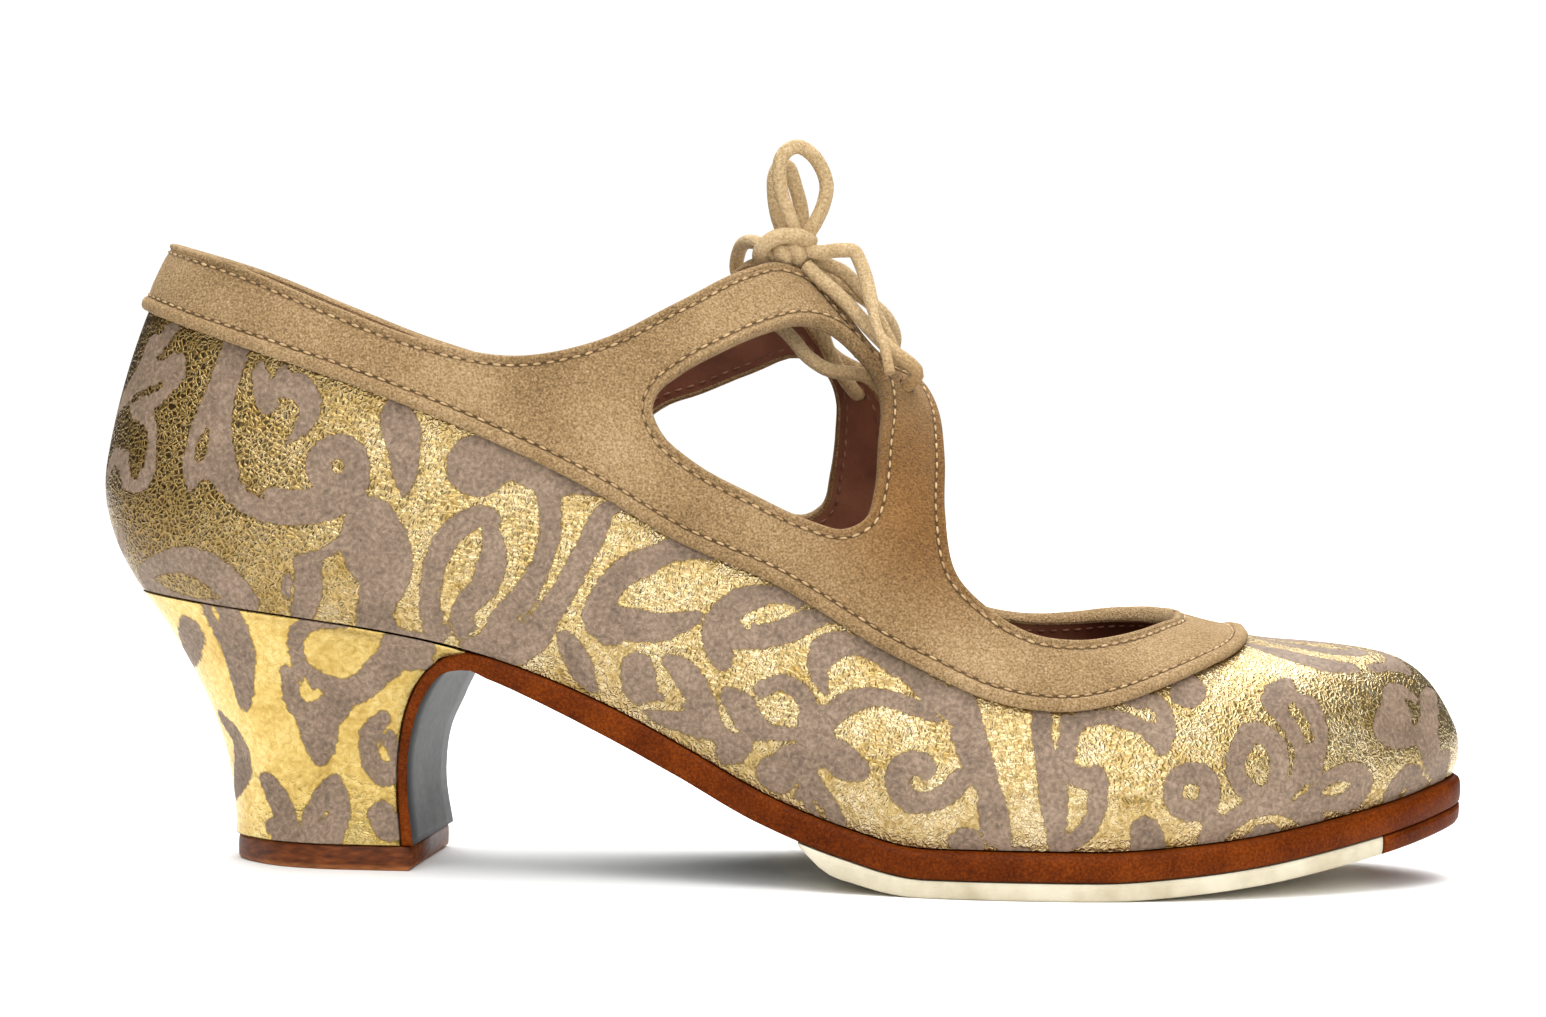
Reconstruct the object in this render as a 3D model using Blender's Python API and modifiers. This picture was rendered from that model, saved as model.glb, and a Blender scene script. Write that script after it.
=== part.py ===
"""Flamenco shoe for a right foot: laced instep, side cut-outs, covered 5 cm heel.

Frame: +X points to the toe, +Y to the inner side of the foot, +Z up. The origin lies on the
floor under the middle of the shoe. Sizes below are millimetres and become metres in place().
"""

import math

import bmesh
import bpy
import numpy as np
from mathutils import Matrix, Vector

# Driving sizes
HEEL_BACK = -124.8
TOE_FRONT = 130.0
CONE_BACK = -62.0
RIDGE_FRONT = 100.0
WALL = 1.6
SUEDE = 1.0
GAP = 0.3
OUTSOLE = 5.0
RUBBER = 3.1
INSOLE = 2.0
LIFT = 4.4
EDGE_BEVEL = 1.0
HEEL_BOTTOM_BACK = -98.3
CORD = 2.7
LACE_HOLE = 4.6
MIDDLE = np.array([2.39, -5.83, 0.0])
LATERAL = -1.0
MEDIAL = 1.0


def columns(names, rows):
    """A table as one array for each named column."""
    return dict(zip(names.split(), np.array(rows, dtype=float).T))


# The last, one row for each station: half widths at its fullest, how far the wall tucks in at the
# feather edge and over what height, and how peaked and how square-shouldered the section is.
LAST = columns(
    "x lateral medial tuck tuck_rise peak shoulder",
    (
        (HEEL_BACK, 0.0, 0.0, 8.8, 24.0, 1.00, 2.0),
        (-113.0, 19.5, 19.5, 7.0, 22.0, 1.00, 2.0),
        (-100.0, 27.0, 27.0, 5.0, 20.0, 1.00, 2.0),
        (-84.0, 31.2, 30.3, 4.0, 18.0, 1.00, 2.0),
        (-64.0, 32.3, 30.0, 3.6, 16.0, 1.05, 2.0),
        (-44.0, 32.7, 27.8, 3.4, 15.0, 1.15, 2.0),
        (-24.0, 34.5, 26.3, 3.2, 14.0, 1.25, 2.0),
        (-4.0, 39.0, 26.8, 3.0, 13.0, 1.30, 2.0),
        (16.0, 44.3, 30.0, 2.8, 12.0, 1.30, 2.0),
        (34.0, 48.0, 34.3, 2.6, 12.0, 1.20, 2.0),
        (50.0, 48.7, 36.6, 2.6, 12.0, 1.10, 2.0),
        (66.0, 46.8, 37.0, 2.6, 11.0, 0.95, 2.2),
        (82.0, 42.0, 35.0, 2.6, 11.0, 0.75, 2.6),
        (97.0, 34.8, 30.5, 2.8, 10.0, 0.50, 3.2),
        (110.0, 26.3, 25.0, 3.0, 9.5, 0.30, 4.0),
        (121.0, 16.5, 17.0, 3.3, 9.0, 0.18, 4.4),
        (TOE_FRONT, 0.0, 0.0, 3.5, 9.0, 0.12, 4.6),
    ),
)

# Height of the feather edge, where the upper meets the sole and the heel seat
FEATHER = columns(
    "x z",
    (
        (-117.0, 49.5), (-100.0, 47.8), (-85.0, 46.2), (-70.0, 44.2), (-57.0, 41.7), (-45.0, 38.2),
        (-30.0, 32.3), (-15.0, 24.8), (0.0, 16.9), (14.0, 11.7), (28.0, 8.7), (58.0, 8.7),
        (72.0, 9.5), (88.0, 11.3), (103.0, 14.0), (116.0, 16.7), (127.0, 19.6),
    ),
)

# Height of the last's top line, from above the collar down the instep to the toe box
RIDGE = columns(
    "x z",
    (
        (CONE_BACK, 148.0), (-45.0, 141.8), (-25.0, 131.2), (-10.0, 121.4), (4.0, 110.8), (12.0, 103.4),
        (18.5, 97.0), (25.0, 90.4), (33.0, 81.4), (42.0, 70.5), (54.0, 58.3), (66.0, 50.3), (77.0, 46.4),
        (90.0, 43.9), (RIDGE_FRONT, 43.3),
    ),
)

# Edges seen from the side, each an (x, z) run on the outer or the inner side of the foot
TOPLINE_LATERAL = (
    (-140.0, 121.0), (-125.0, 116.8), (-111.2, 112.6), (-97.0, 108.3), (-80.0, 101.7), (-64.0, 96.0),
    (-46.0, 93.1), (-31.5, 96.2), (-17.4, 103.4), (-5.8, 109.3), (-1.0, 110.5), (3.5, 109.3),
    (11.8, 101.5), (19.0, 93.6), (25.0, 90.3), (28.4, 85.5), (30.1, 76.0), (30.3, 66.0), (32.6, 55.4),
    (38.0, 49.8), (46.0, 45.3), (54.0, 44.1), (62.0, 44.7), (70.0, 46.2), (74.5, 47.1), (76.6, 49.0),
    (77.2, 54.0),
)
TOPLINE_MEDIAL = (
    (-140.0, 121.0), (-125.0, 116.8), (-111.2, 112.6), (-97.0, 108.3), (-80.0, 101.5), (-64.0, 95.6),
    (-50.0, 92.3), (-37.0, 94.1), (-24.5, 99.2), (-14.0, 104.6), (-9.0, 107.8), (-6.8, 110.6),
    (-4.2, 111.8), (-1.0, 109.8), (4.3, 103.0), (11.5, 94.6), (17.5, 91.0), (21.0, 85.5), (22.6, 76.0),
    (23.4, 66.0), (26.5, 55.4), (32.5, 49.6), (40.0, 46.7), (49.0, 45.2), (57.0, 45.6), (64.0, 46.6),
    (70.0, 47.1), (74.5, 47.3), (76.6, 49.0), (77.2, 54.0),
)
# The gap between the straps in plan, along the outer strap's edge
GAP_EDGE = columns(
    "x y",
    (
        (-140.0, -2.0), (-30.0, -6.0), (-6.0, -6.0), (-1.0, -5.0), (3.5, -2.9), (11.8, -3.9), (19.0, -6.2),
        (22.5, -3.2), (25.0, 0.2), (30.0, 0.2), (160.0, 0.2),
    ),
)
CUTOUT_LATERAL = (
    (-22.2, 84.6), (-20.5, 80.0), (-15.0, 75.1), (-3.6, 69.1), (7.0, 64.5), (12.5, 63.2), (16.7, 65.2),
    (18.4, 70.5), (19.2, 79.3), (19.8, 86.1), (18.9, 90.8), (15.4, 95.3), (9.5, 99.8), (5.0, 100.6),
    (-1.0, 99.2), (-10.0, 95.2), (-17.7, 90.6), (-21.2, 87.5),
)
CUTOUT_MEDIAL = (
    (-25.0, 80.8), (-23.0, 77.3), (-17.0, 73.4), (-8.0, 68.8), (1.0, 64.7), (6.0, 63.8), (9.5, 66.0),
    (11.0, 72.0), (11.9, 80.8), (11.8, 87.2), (9.6, 92.0), (5.2, 94.5), (-4.2, 91.4), (-13.8, 87.3),
    (-21.5, 84.2),
)
SUEDE_EDGE = (
    (-140.0, 109.6), (-117.1, 101.6), (-108.4, 98.6), (-93.5, 93.9), (-74.0, 87.7), (-52.4, 79.5),
    (-32.9, 70.5), (-17.0, 61.5), (2.0, 53.5), (10.7, 48.5), (18.8, 43.7), (28.9, 38.9), (38.0, 35.0),
    (46.0, 33.3), (53.0, 33.0), (60.0, 34.0), (70.4, 37.2), (78.6, 40.2), (83.6, 42.2), (86.6, 44.0),
    (89.0, 46.6), (94.0, 52.0),
)

# The sole where it leaves the heel seat and runs down the breast: its back face, its front face,
# its two edges, and how far the breast stands further forward on the inner side
BREAST = columns(
    "back_x back_z front_x front_z lateral medial skew",
    (
        (-66.1, 4.7, -64.0, 4.7, 20.3, 21.3, 4.2),
        (-66.8, 12.0, -65.0, 12.0, 19.8, 20.8, 4.0),
        (-67.0, 18.0, -65.3, 17.7, 20.0, 21.0, 4.2),
        (-66.5, 24.0, -64.8, 23.5, 21.0, 22.0, 4.6),
        (-65.2, 30.0, -63.4, 29.2, 22.6, 23.2, 5.6),
        (-62.9, 35.0, -61.2, 33.6, 24.6, 24.6, 5.4),
        (-60.0, 38.2, -58.9, 36.2, 26.2, 25.4, 4.0),
        (-57.0, 39.9, -56.2, 37.1, 27.6, 25.8, 2.0),
        (-54.2, 40.4, -53.4, 37.2, 28.6, 26.0, 0.0),
    ),
)
OUTSOLE_DEPTH = columns("x depth", ((-50.0, 3.6), (-38.0, 4.6), (-28.0, OUTSOLE), (127.0, OUTSOLE)))
SOLE_MARGIN = columns("x out", ((-50.0, 0.8), (-10.0, 1.0), (30.0, 1.9), (110.0, 1.9), (127.0, 1.5)))
RUBBER_DEPTH = columns("x depth", ((5.0, 0.5), (9.5, 3.0), (16.0, 3.3), (28.0, RUBBER), (127.0, RUBBER)))
SOLE_START = -50.5
RUBBER_START = 5.0
RUBBER_END = 111.4

# Lace holes as (side, x, z), each square to the wall
HOLES = {
    "hole_lateral": (LATERAL, 23.2, 88.4),
    "hole_medial": (MEDIAL, 16.0, 88.2),
    "hole_medial_top": (MEDIAL, -6.6, 104.4),
}

# Routes of the lace's two halves between the knot and the holes: over the instep and inside the shoe
OUTER_RISER = (
    (5.3, -4.4, 111.0), (7.6, -5.4, 108.8), (10.2, -6.2, 106.6), (13.6, -7.4, 103.4), (17.0, -9.4, 99.6),
    (20.6, -12.4, 96.0),
)
OUTER_INSIDE = (
    (19.4, -5.8, 88.6), (16.8, -4.6, 91.2), (13.5, -3.8, 91.2), (10.0, -3.0, 91.6), (6.2, -2.4, 94.0),
    (2.6, -0.5, 98.0), (-1.0, 2.6, 101.0), (-4.2, 6.4, 102.6),
)
OUTER_OVER = (
    (-7.6, 14.6, 110.2), (-7.0, 11.0, 114.2), (-5.4, 6.0, 115.4), (-3.8, 3.0, 115.1), (-2.1, 0.95, 114.2)
)
INNER_RISER = (
    (5.9, 0.6, 111.4), (8.6, 1.9, 109.4), (12.0, 3.0, 107.6), (16.6, 4.8, 105.0), (20.6, 7.6, 101.6),
    (22.2, 11.2, 97.6), (20.8, 14.8, 94.0),
)
INNER_INSIDE = ((12.2, 5.0, 90.8), (9.8, 3.8, 95.0), (8.4, 3.0, 99.2), (7.2, 2.6, 102.8), (6.0, 2.2, 106.2))

# The bow: its knot and the cord routes out of it
KNOT = np.array((2.0, -2.0, 113.4))
KNOT_RADII = np.array((5.0, 4.2, 3.0))
LOOP_FRONT = (
    (3.1, -4.1, 116.9), (2.0, -4.6, 120.2), (0.6, -4.8, 124.0), (0.1, -4.8, 127.8), (0.3, -4.6, 130.3),
    (1.8, -4.3, 132.2), (3.3, -4.0, 132.7), (5.8, -3.6, 131.5), (7.8, -3.3, 128.9), (8.8, -3.2, 125.8),
    (8.3, -3.2, 122.3), (6.9, -3.4, 119.0), (5.3, -3.3, 116.0),
)
LOOP_BACK = (
    (1.1, 0.0, 116.6), (-0.2, 0.8, 120.4), (-0.8, 1.2, 124.2), (-0.7, 1.4, 127.4), (0.4, 1.6, 129.6),
    (1.8, 1.8, 128.4), (2.9, 1.8, 126.0), (3.9, 1.6, 123.0), (4.4, 1.2, 119.9), (3.9, 0.3, 116.2),
)
END_NEAR = (
    (6.6, -4.8, 113.4), (11.5, -6.6, 113.8), (14.0, -7.4, 113.6), (15.2, -8.0, 111.5), (16.3, -9.0, 108.4),
    (17.0, -10.8, 105.3), (18.0, -13.4, 100.6), (19.7, -16.0, 95.9), (20.7, -17.8, 91.5),
)
END_FAR = (
    (7.05, -2.0, 112.3), (10.0, -2.4, 110.9), (12.0, -3.0, 110.0), (13.8, -3.6, 108.4), (15.6, -4.4, 106.4),
    (17.9, -4.4, 103.2), (20.2, -4.8, 99.2), (22.0, -5.6, 95.4),
)


def through(knots, values, at):
    """Smooth curve through the rows of a table, level where the rows turn or stay level."""
    step = np.diff(values) / np.diff(knots)
    slope = np.gradient(values, knots)
    slope[1:-1] = np.where(step[1:] * step[:-1] <= 0.0, 0.0, slope[1:-1])
    at = np.clip(at, knots[0], knots[-1])
    row = np.clip(np.searchsorted(knots, at, side="right") - 1, 0, len(knots) - 2)
    span = knots[row + 1] - knots[row]
    t = (at - knots[row]) / span
    rest = 1.0 - t
    start = values[row] * (1.0 + 2.0 * t) * rest**2 + slope[row] * span * t * rest**2
    return start + values[row + 1] * (3.0 - 2.0 * t) * t**2 - slope[row + 1] * span * rest * t**2


def path_through(points, steps, closed=False):
    """Smooth run through hand-chosen points, with the same number of steps between each pair."""
    points = np.array(points, dtype=float)
    if closed:
        points = np.vstack((points[-2:], points, points[:3]))
    chord = np.concatenate(([0.0], np.cumsum(np.linalg.norm(np.diff(points, axis=0), axis=1))))
    tangent = np.gradient(points, chord, axis=0)
    first, last = (2, len(points) - 3) if closed else (0, len(points) - 1)
    run = []
    for row in range(first, last):
        span = chord[row + 1] - chord[row]
        for t in np.arange(steps) / steps:
            rest = 1.0 - t
            start = points[row] * (1.0 + 2.0 * t) * rest**2 + tangent[row] * span * t * rest**2
            end = points[row + 1] * (3.0 - 2.0 * t) * t**2 - tangent[row + 1] * span * rest * t**2
            run.append(start + end)
    if not closed:
        run.append(points[-1])
    return np.array(run)


def turn_at(x):
    """Position on the plan loop, from 0 at the heel's back to pi at the toe's front."""
    return np.arccos(np.clip(1.0 - 2.0 * (x - HEEL_BACK) / (TOE_FRONT - HEEL_BACK), -1.0, 1.0))


STATION_TURNS = turn_at(LAST["x"])


def last_column(name, turn):
    return through(STATION_TURNS, LAST[name], turn)


def half_width(turn, side):
    return last_column("lateral" if side < 0.0 else "medial", turn)


def feather_height(x):
    return through(FEATHER["x"], FEATHER["z"], x)


def plan_outline(turn, side, inset):
    """Plan outline of the last at its fullest, moved inward by inset."""
    length = TOE_FRONT - HEEL_BACK
    step = 0.01
    ahead = half_width(np.clip(turn + step, 0.0, np.pi), side)
    behind = half_width(np.clip(turn - step, 0.0, np.pi), side)
    along_x = length * np.sin(turn) / 2.0
    along_y = (ahead - behind) / (2.0 * step)
    along_y = along_y * np.where((turn < step) | (turn > np.pi - step), 2.0, 1.0)
    size = np.hypot(along_x, along_y) + 1e-9
    x = HEEL_BACK + length * (1.0 - np.cos(turn)) / 2.0 + inset * along_y / size
    y = side * (half_width(turn, side) - inset * along_x / size)
    return x, y


def last_point(turn, rise, side):
    """Point of the lasted outer face: rise runs from 0 at the feather edge to pi/2 on the ridge.

    Sections fan from the plan outline to the ridge line. Each is an ellipse quarter whose height
    falls off from the ridge as peak * e + (1 - peak) * e ** shoulder, with e = 1 - sin(rise), and
    the wall tucks in towards the feather edge.
    """
    fall = 1.0 - np.sin(rise)
    spread = np.cos(rise)
    tuck = last_column("tuck", turn)
    outer_x, outer_y = plan_outline(turn, side, 0.0)
    foot_x, foot_y = plan_outline(turn, side, tuck)
    low = feather_height(foot_x)
    ridge_x = CONE_BACK + (RIDGE_FRONT - CONE_BACK) * (1.0 - np.cos(turn)) / 2.0
    high = through(RIDGE["x"], RIDGE["z"], ridge_x)
    peak = last_column("peak", turn)
    drop = peak * fall + (1.0 - peak) * fall ** last_column("shoulder", turn)
    z = high - (high - low) * drop
    heel_share = (1.0 + np.cos(turn)) / 2.0
    reach = heel_share * spread + (1.0 - heel_share) * fall
    pull = (1.0 - np.clip((z - low) / last_column("tuck_rise", turn), 0.0, 1.0)) ** 2
    x = ridge_x + (outer_x - ridge_x) * reach + (foot_x - outer_x) * pull
    y = outer_y * spread + (foot_y - outer_y) * pull
    return np.stack(np.broadcast_arrays(x, y, z), axis=-1)


def wall_frame(side, x, z):
    """Point of the upper's outer face seen at (x, z) from one side, and the outward normal there."""
    turn = float(turn_at(x))
    rise = 0.8
    step = 1e-4
    for _ in range(40):
        here = last_point(turn, rise, side)
        by_turn = (last_point(turn + step, rise, side) - here) / step
        by_rise = (last_point(turn, rise + step, side) - here) / step
        slopes = np.array(((by_turn[0], by_rise[0]), (by_turn[2], by_rise[2])))
        move = np.linalg.solve(slopes, np.array((x - here[0], z - here[2])))
        turn = float(np.clip(turn + np.clip(move[0], -0.1, 0.1), 0.05, math.pi - 0.05))
        rise = float(np.clip(rise + np.clip(move[1], -0.1, 0.1), 0.01, math.pi / 2.0 - 0.01))
    normal = np.cross(by_turn, by_rise) * -side
    return here, normal / np.linalg.norm(normal)


def wall_point(side, x, z, height):
    here, normal = wall_frame(side, x, z)
    return here + normal * height


def place(points):
    """Millimetres from the last's own zero to metres in the shoe's frame."""
    return (np.asarray(points, dtype=float) - MIDDLE) * 0.001


def new_collection(name):
    collection = bpy.data.collections.new(name)
    bpy.context.scene.collection.children.link(collection)
    return collection


def clear_scene():
    for old in list(bpy.data.objects):
        bpy.data.objects.remove(old, do_unlink=True)


clear_scene()
SHOE = new_collection("flamenco_shoe")
CUTTERS = new_collection("cutters")


def finish(name, colour, roughness, metallic=0.0):
    """Principled material of one sub-part."""
    material = bpy.data.materials.new(name)
    material.use_nodes = True
    shader = material.node_tree.nodes["Principled BSDF"]
    shader.inputs["Base Color"].default_value = (*colour, 1.0)
    shader.inputs["Roughness"].default_value = roughness
    shader.inputs["Metallic"].default_value = metallic
    return material


def add_object(name, mesh, collection, material=None):
    thing = bpy.data.objects.new(name, mesh)
    collection.objects.link(thing)
    if material:
        mesh.materials.append(material)
    return thing


def skin(name, rings, material, cap_start=True, cap_end=True, wrap=True):
    """Mesh between rings of points; a ring that closes to an edge takes no cap."""
    count = len(rings[0])
    work = bmesh.new()
    rows = [[work.verts.new(point) for point in place(ring)] for ring in rings]
    for low, high in zip(rows[:-1], rows[1:]):
        for k in range(count if wrap else count - 1):
            following = (k + 1) % count
            work.faces.new((low[k], low[following], high[following], high[k]))
    for row, wanted in ((rows[0], cap_start), (rows[-1], cap_end)):
        if wanted:
            cap_pairs(work, row)
    bmesh.ops.remove_doubles(work, verts=work.verts, dist=1e-6)
    bmesh.ops.dissolve_degenerate(work, edges=work.edges, dist=1e-7)
    bmesh.ops.recalc_face_normals(work, faces=work.faces)
    mesh = bpy.data.meshes.new(name)
    work.to_mesh(mesh)
    work.free()
    return add_object(name, mesh, SHOE, material)


def cap_pairs(work, row):
    """Close a ring by joining each point of its first half to its opposite number."""
    count = len(row)
    for k in range(count // 2):
        corners = [row[k], row[k + 1], row[count - 2 - k], row[count - 1 - k]]
        single = list(dict.fromkeys(corners))
        if k + 1 <= count - 2 - k and len(single) > 2:
            work.faces.new(single)


def prism(name, outline, y_from, y_to):
    """Cutter: a side-view outline drawn out across the shoe."""
    curve = bpy.data.curves.new(name, "CURVE")
    curve.dimensions = "2D"
    curve.fill_mode = "BOTH"
    curve.extrude = (y_to - y_from) * 0.0005
    spline = curve.splines.new("POLY")
    spline.points.add(len(outline) - 1)
    for point, (x, z) in zip(spline.points, outline):
        point.co = (*((np.array((x, z)) - MIDDLE[[0, 2]]) * 0.001), 0.0, 1.0)
    spline.use_cyclic_u = True
    drawn = add_object(name + "_outline", curve, CUTTERS)
    drawn.rotation_euler = (math.pi / 2.0, 0.0, 0.0)
    drawn.location = (0.0, ((y_from + y_to) / 2.0 - MIDDLE[1]) * 0.001, 0.0)
    return solid_cutter(name, drawn)


def solid_cutter(name, drawn):
    """Closed mesh of a drawn curve, in its place, for cutting."""
    bpy.context.view_layer.update()
    evaluated = drawn.evaluated_get(bpy.context.evaluated_depsgraph_get())
    mesh = bpy.data.meshes.new_from_object(evaluated)
    cutter = add_object(name, mesh, CUTTERS)
    cutter.matrix_world = drawn.matrix_world
    bpy.data.objects.remove(drawn, do_unlink=True)
    work = bmesh.new()
    work.from_mesh(mesh)
    bmesh.ops.remove_doubles(work, verts=work.verts, dist=1e-6)
    bmesh.ops.recalc_face_normals(work, faces=work.faces)
    work.to_mesh(mesh)
    work.free()
    return hide_cutter(cutter)


def hide_cutter(cutter):
    cutter.hide_render = True
    cutter.display_type = "WIRE"
    return cutter


def hole_cutter(name, side, x, z):
    """Cylinder through the wall, square to it."""
    middle, normal = wall_frame(side, x, z)
    mesh = bpy.data.meshes.new(name)
    work = bmesh.new()
    radius = LACE_HOLE * 0.0005
    bmesh.ops.create_cone(
        work, cap_ends=True, segments=16, radius1=radius, radius2=radius, depth=0.012
    )
    work.to_mesh(mesh)
    work.free()
    cutter = add_object(name, mesh, CUTTERS)
    cutter.rotation_mode = "QUATERNION"
    cutter.rotation_quaternion = Vector(normal).to_track_quat("Z", "Y")
    cutter.location = place(middle)
    return hide_cutter(cutter)


def cut(thing, cutter):
    boolean = thing.modifiers.new(cutter.name, "BOOLEAN")
    boolean.operation = "DIFFERENCE"
    boolean.solver = "EXACT"
    boolean.object = cutter


def lasted_surface(name, lift, material, per_side=32, rows=12):
    """The last's whole face, closed along the ridge and open underneath, lifted off by lift."""
    turns = np.linspace(0.0, np.pi, per_side + 1)
    rises = (np.arange(rows + 1) / rows) ** 1.5 * np.pi / 2.0
    outer = last_point(turns[None, :], rises[:, None], LATERAL)
    inner = last_point(turns[None, :], rises[:, None], MEDIAL)
    loop = np.concatenate((outer, inner[:, -2:0:-1]), axis=1)
    surface = skin(name, loop, material, cap_start=False, cap_end=False)
    work = bmesh.new()
    work.from_mesh(surface.data)
    work.normal_update()
    lowest = max(work.faces, key=lambda face: abs(face.normal.y))
    if lowest.normal.y * lowest.calc_center_median().y < 0.0:
        bmesh.ops.reverse_faces(work, faces=work.faces)
    bmesh.ops.triangulate(work, faces=work.faces, quad_method="FIXED")
    work.normal_update()
    for vert in work.verts:
        vert.co += vert.normal * lift * 0.001
    work.to_mesh(surface.data)
    work.free()
    return surface


def thicken(thing, thickness, offset):
    solidify = thing.modifiers.new("wall", "SOLIDIFY")
    solidify.thickness = thickness * 0.001
    solidify.offset = offset


def smooth(thing, angle=35.0):
    thing.data.shade_smooth()
    thing.data.set_sharp_from_angle(angle=math.radians(angle))


def even_run(rows, count):
    """The same number of points along any edge, at equal shares of its length."""
    run = path_through(rows, 6)
    chord = np.concatenate(([0.0], np.cumsum(np.linalg.norm(np.diff(run, axis=0), axis=1))))
    at = np.linspace(0.0, chord[-1], count)
    return np.column_stack((np.interp(at, chord, run[:, 0]), np.interp(at, chord, run[:, 1])))


def collar_cutter(count=84, above=200.0):
    """Everything above the collar and throat: each side of the gap has its own edge."""
    rings = []
    for rows, beyond, step in (
        (TOPLINE_LATERAL, -90.0, 0.0),
        (TOPLINE_LATERAL, 0.0, 0.0),
        (TOPLINE_MEDIAL, 0.0, 0.5),
        (TOPLINE_MEDIAL, 90.0, 0.0),
    ):
        run = even_run(rows, count)
        outline = np.vstack((run, (run[-1, 0], above), (run[0, 0], above)))
        y = through(GAP_EDGE["x"], GAP_EDGE["y"], outline[:, 0]) + step
        rings.append(np.column_stack((outline[:, 0], y + beyond, outline[:, 1])))
    cutter = skin("collar", rings, None, cap_start=False, cap_end=False)
    SHOE.objects.unlink(cutter)
    CUTTERS.objects.link(cutter)
    work = bmesh.new()
    work.from_mesh(cutter.data)
    bmesh.ops.holes_fill(work, edges=[edge for edge in work.edges if edge.is_boundary])
    bmesh.ops.recalc_face_normals(work, faces=work.faces)
    work.to_mesh(cutter.data)
    work.free()
    return hide_cutter(cutter)


def opening_cutters():
    """Cutters for the collar and throat, the cut-outs and the lace holes."""
    cutters = [collar_cutter()]
    for name, rows, y_from, y_to in (
        ("cutout_lateral", CUTOUT_LATERAL, -90.0, -3.0),
        ("cutout_medial", CUTOUT_MEDIAL, 3.0, 90.0),
    ):
        cutters.append(prism(name, path_through(rows, 2, closed=True), y_from, y_to))
    for name, (side, x, z) in HOLES.items():
        cutters.append(hole_cutter(name, side, x, z))
    return cutters


def make_upper(openings):
    upper = lasted_surface("upper", 0.0, finish("foil_leather", (0.62, 0.47, 0.16), 0.4, 0.6))
    thicken(upper, WALL, -1.0)
    for cutter in openings:
        cut(upper, cutter)
    smooth(upper)


def make_overlay(openings):
    """The suede band lies over the upper above its lower edge."""
    overlay = lasted_surface("suede_overlay", GAP, finish("suede", (0.48, 0.31, 0.13), 0.95))
    thicken(overlay, SUEDE, 1.0)
    run = path_through(SUEDE_EDGE, 3)
    closing = ((160.0, run[-1, 1]), (160.0, -20.0), (run[0, 0], -20.0))
    below = np.vstack((run, closing))
    cut(overlay, prism("below_suede", below, -90.0, 90.0))
    for cutter in openings:
        cut(overlay, cutter)
    smooth(overlay)


def sole_point(turn, side, inset, depth):
    """Point under the feather edge: inset in plan, depth measured square to the sole's run."""
    x, y = plan_outline(turn, side, inset)
    slope = feather_height(x + 0.5) - feather_height(x - 0.5)
    return np.array((x, y, feather_height(x) - depth * math.hypot(1.0, slope)))


def sole_turns(x_from, x_to, count):
    return np.linspace(float(turn_at(x_from)), float(turn_at(x_to)), count)


def edge_inset(turn, share):
    """Inset of the sole's edge: share of its margin outside the feather edge."""
    x = HEEL_BACK + (TOE_FRONT - HEEL_BACK) * (1.0 - math.cos(turn)) / 2.0
    margin = through(SOLE_MARGIN["x"], SOLE_MARGIN["out"], x)
    return last_column("tuck", turn) - share * margin


def breast_point(row, share, part, side):
    """Point of the breast row: part 0 is its back face and 1 its front face."""
    back = np.array((BREAST["back_x"][row], BREAST["back_z"][row]))
    front = np.array((BREAST["front_x"][row], BREAST["front_z"][row]))
    x, z = back + (front - back) * part
    y = side * (BREAST["lateral" if side < 0.0 else "medial"][row] - (1.0 - share) * 0.5)
    return np.array((x + breast_skew(row, y), y, z))


def breast_skew(row, y):
    """The breast is square to the heel's own axis, not to the shoe's."""
    width = BREAST["lateral"][row] + BREAST["medial"][row]
    return BREAST["skew"][row] * (y + BREAST["lateral"][row]) / width


def make_outsole():
    """Leather sole: down the heel breast, over the waist and out to the toe."""
    rings = []
    for row in range(len(BREAST["back_x"])):
        outer = [breast_point(row, share, part, LATERAL) for share, part in ((0, 0), (1, 0.4), (1, 1))]
        inner = [breast_point(row, share, part, MEDIAL) for share, part in ((1, 1), (1, 0.4), (0, 0))]
        rings.append(outer + inner)
    for turn in sole_turns(SOLE_START, TOE_FRONT, 30):
        x = float(plan_outline(turn, LATERAL, 0.0)[0])
        depth = GAP + through(OUTSOLE_DEPTH["x"], OUTSOLE_DEPTH["depth"], x)
        levels = ((0.3, GAP), (1.0, GAP + EDGE_BEVEL), (1.0, depth))
        outer = [sole_point(turn, LATERAL, edge_inset(turn, out), down) for out, down in levels]
        inner = [sole_point(turn, MEDIAL, edge_inset(turn, out), down) for out, down in levels[::-1]]
        rings.append(outer + inner)
    sole = skin("outsole", rings, finish("sole_leather", (0.27, 0.09, 0.035), 0.4), cap_end=False)
    smooth(sole)


def forefoot_piece(name, x_from, x_to, count, material, closes_at_toe):
    """A layer under the outsole's forefoot, following its edge."""
    rings = []
    for turn in sole_turns(x_from, x_to, count):
        x = float(plan_outline(turn, LATERAL, 0.0)[0])
        top = OUTSOLE + 2.0 * GAP
        bottom = top + through(RUBBER_DEPTH["x"], RUBBER_DEPTH["depth"], x)
        levels = ((0.95, top), (0.9, bottom - 0.4), (0.7, bottom))
        outer = [sole_point(turn, LATERAL, edge_inset(turn, out), down) for out, down in levels]
        inner = [sole_point(turn, MEDIAL, edge_inset(turn, out), down) for out, down in levels[::-1]]
        rings.append(outer + inner)
    smooth(skin(name, rings, material, cap_end=not closes_at_toe))


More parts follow.
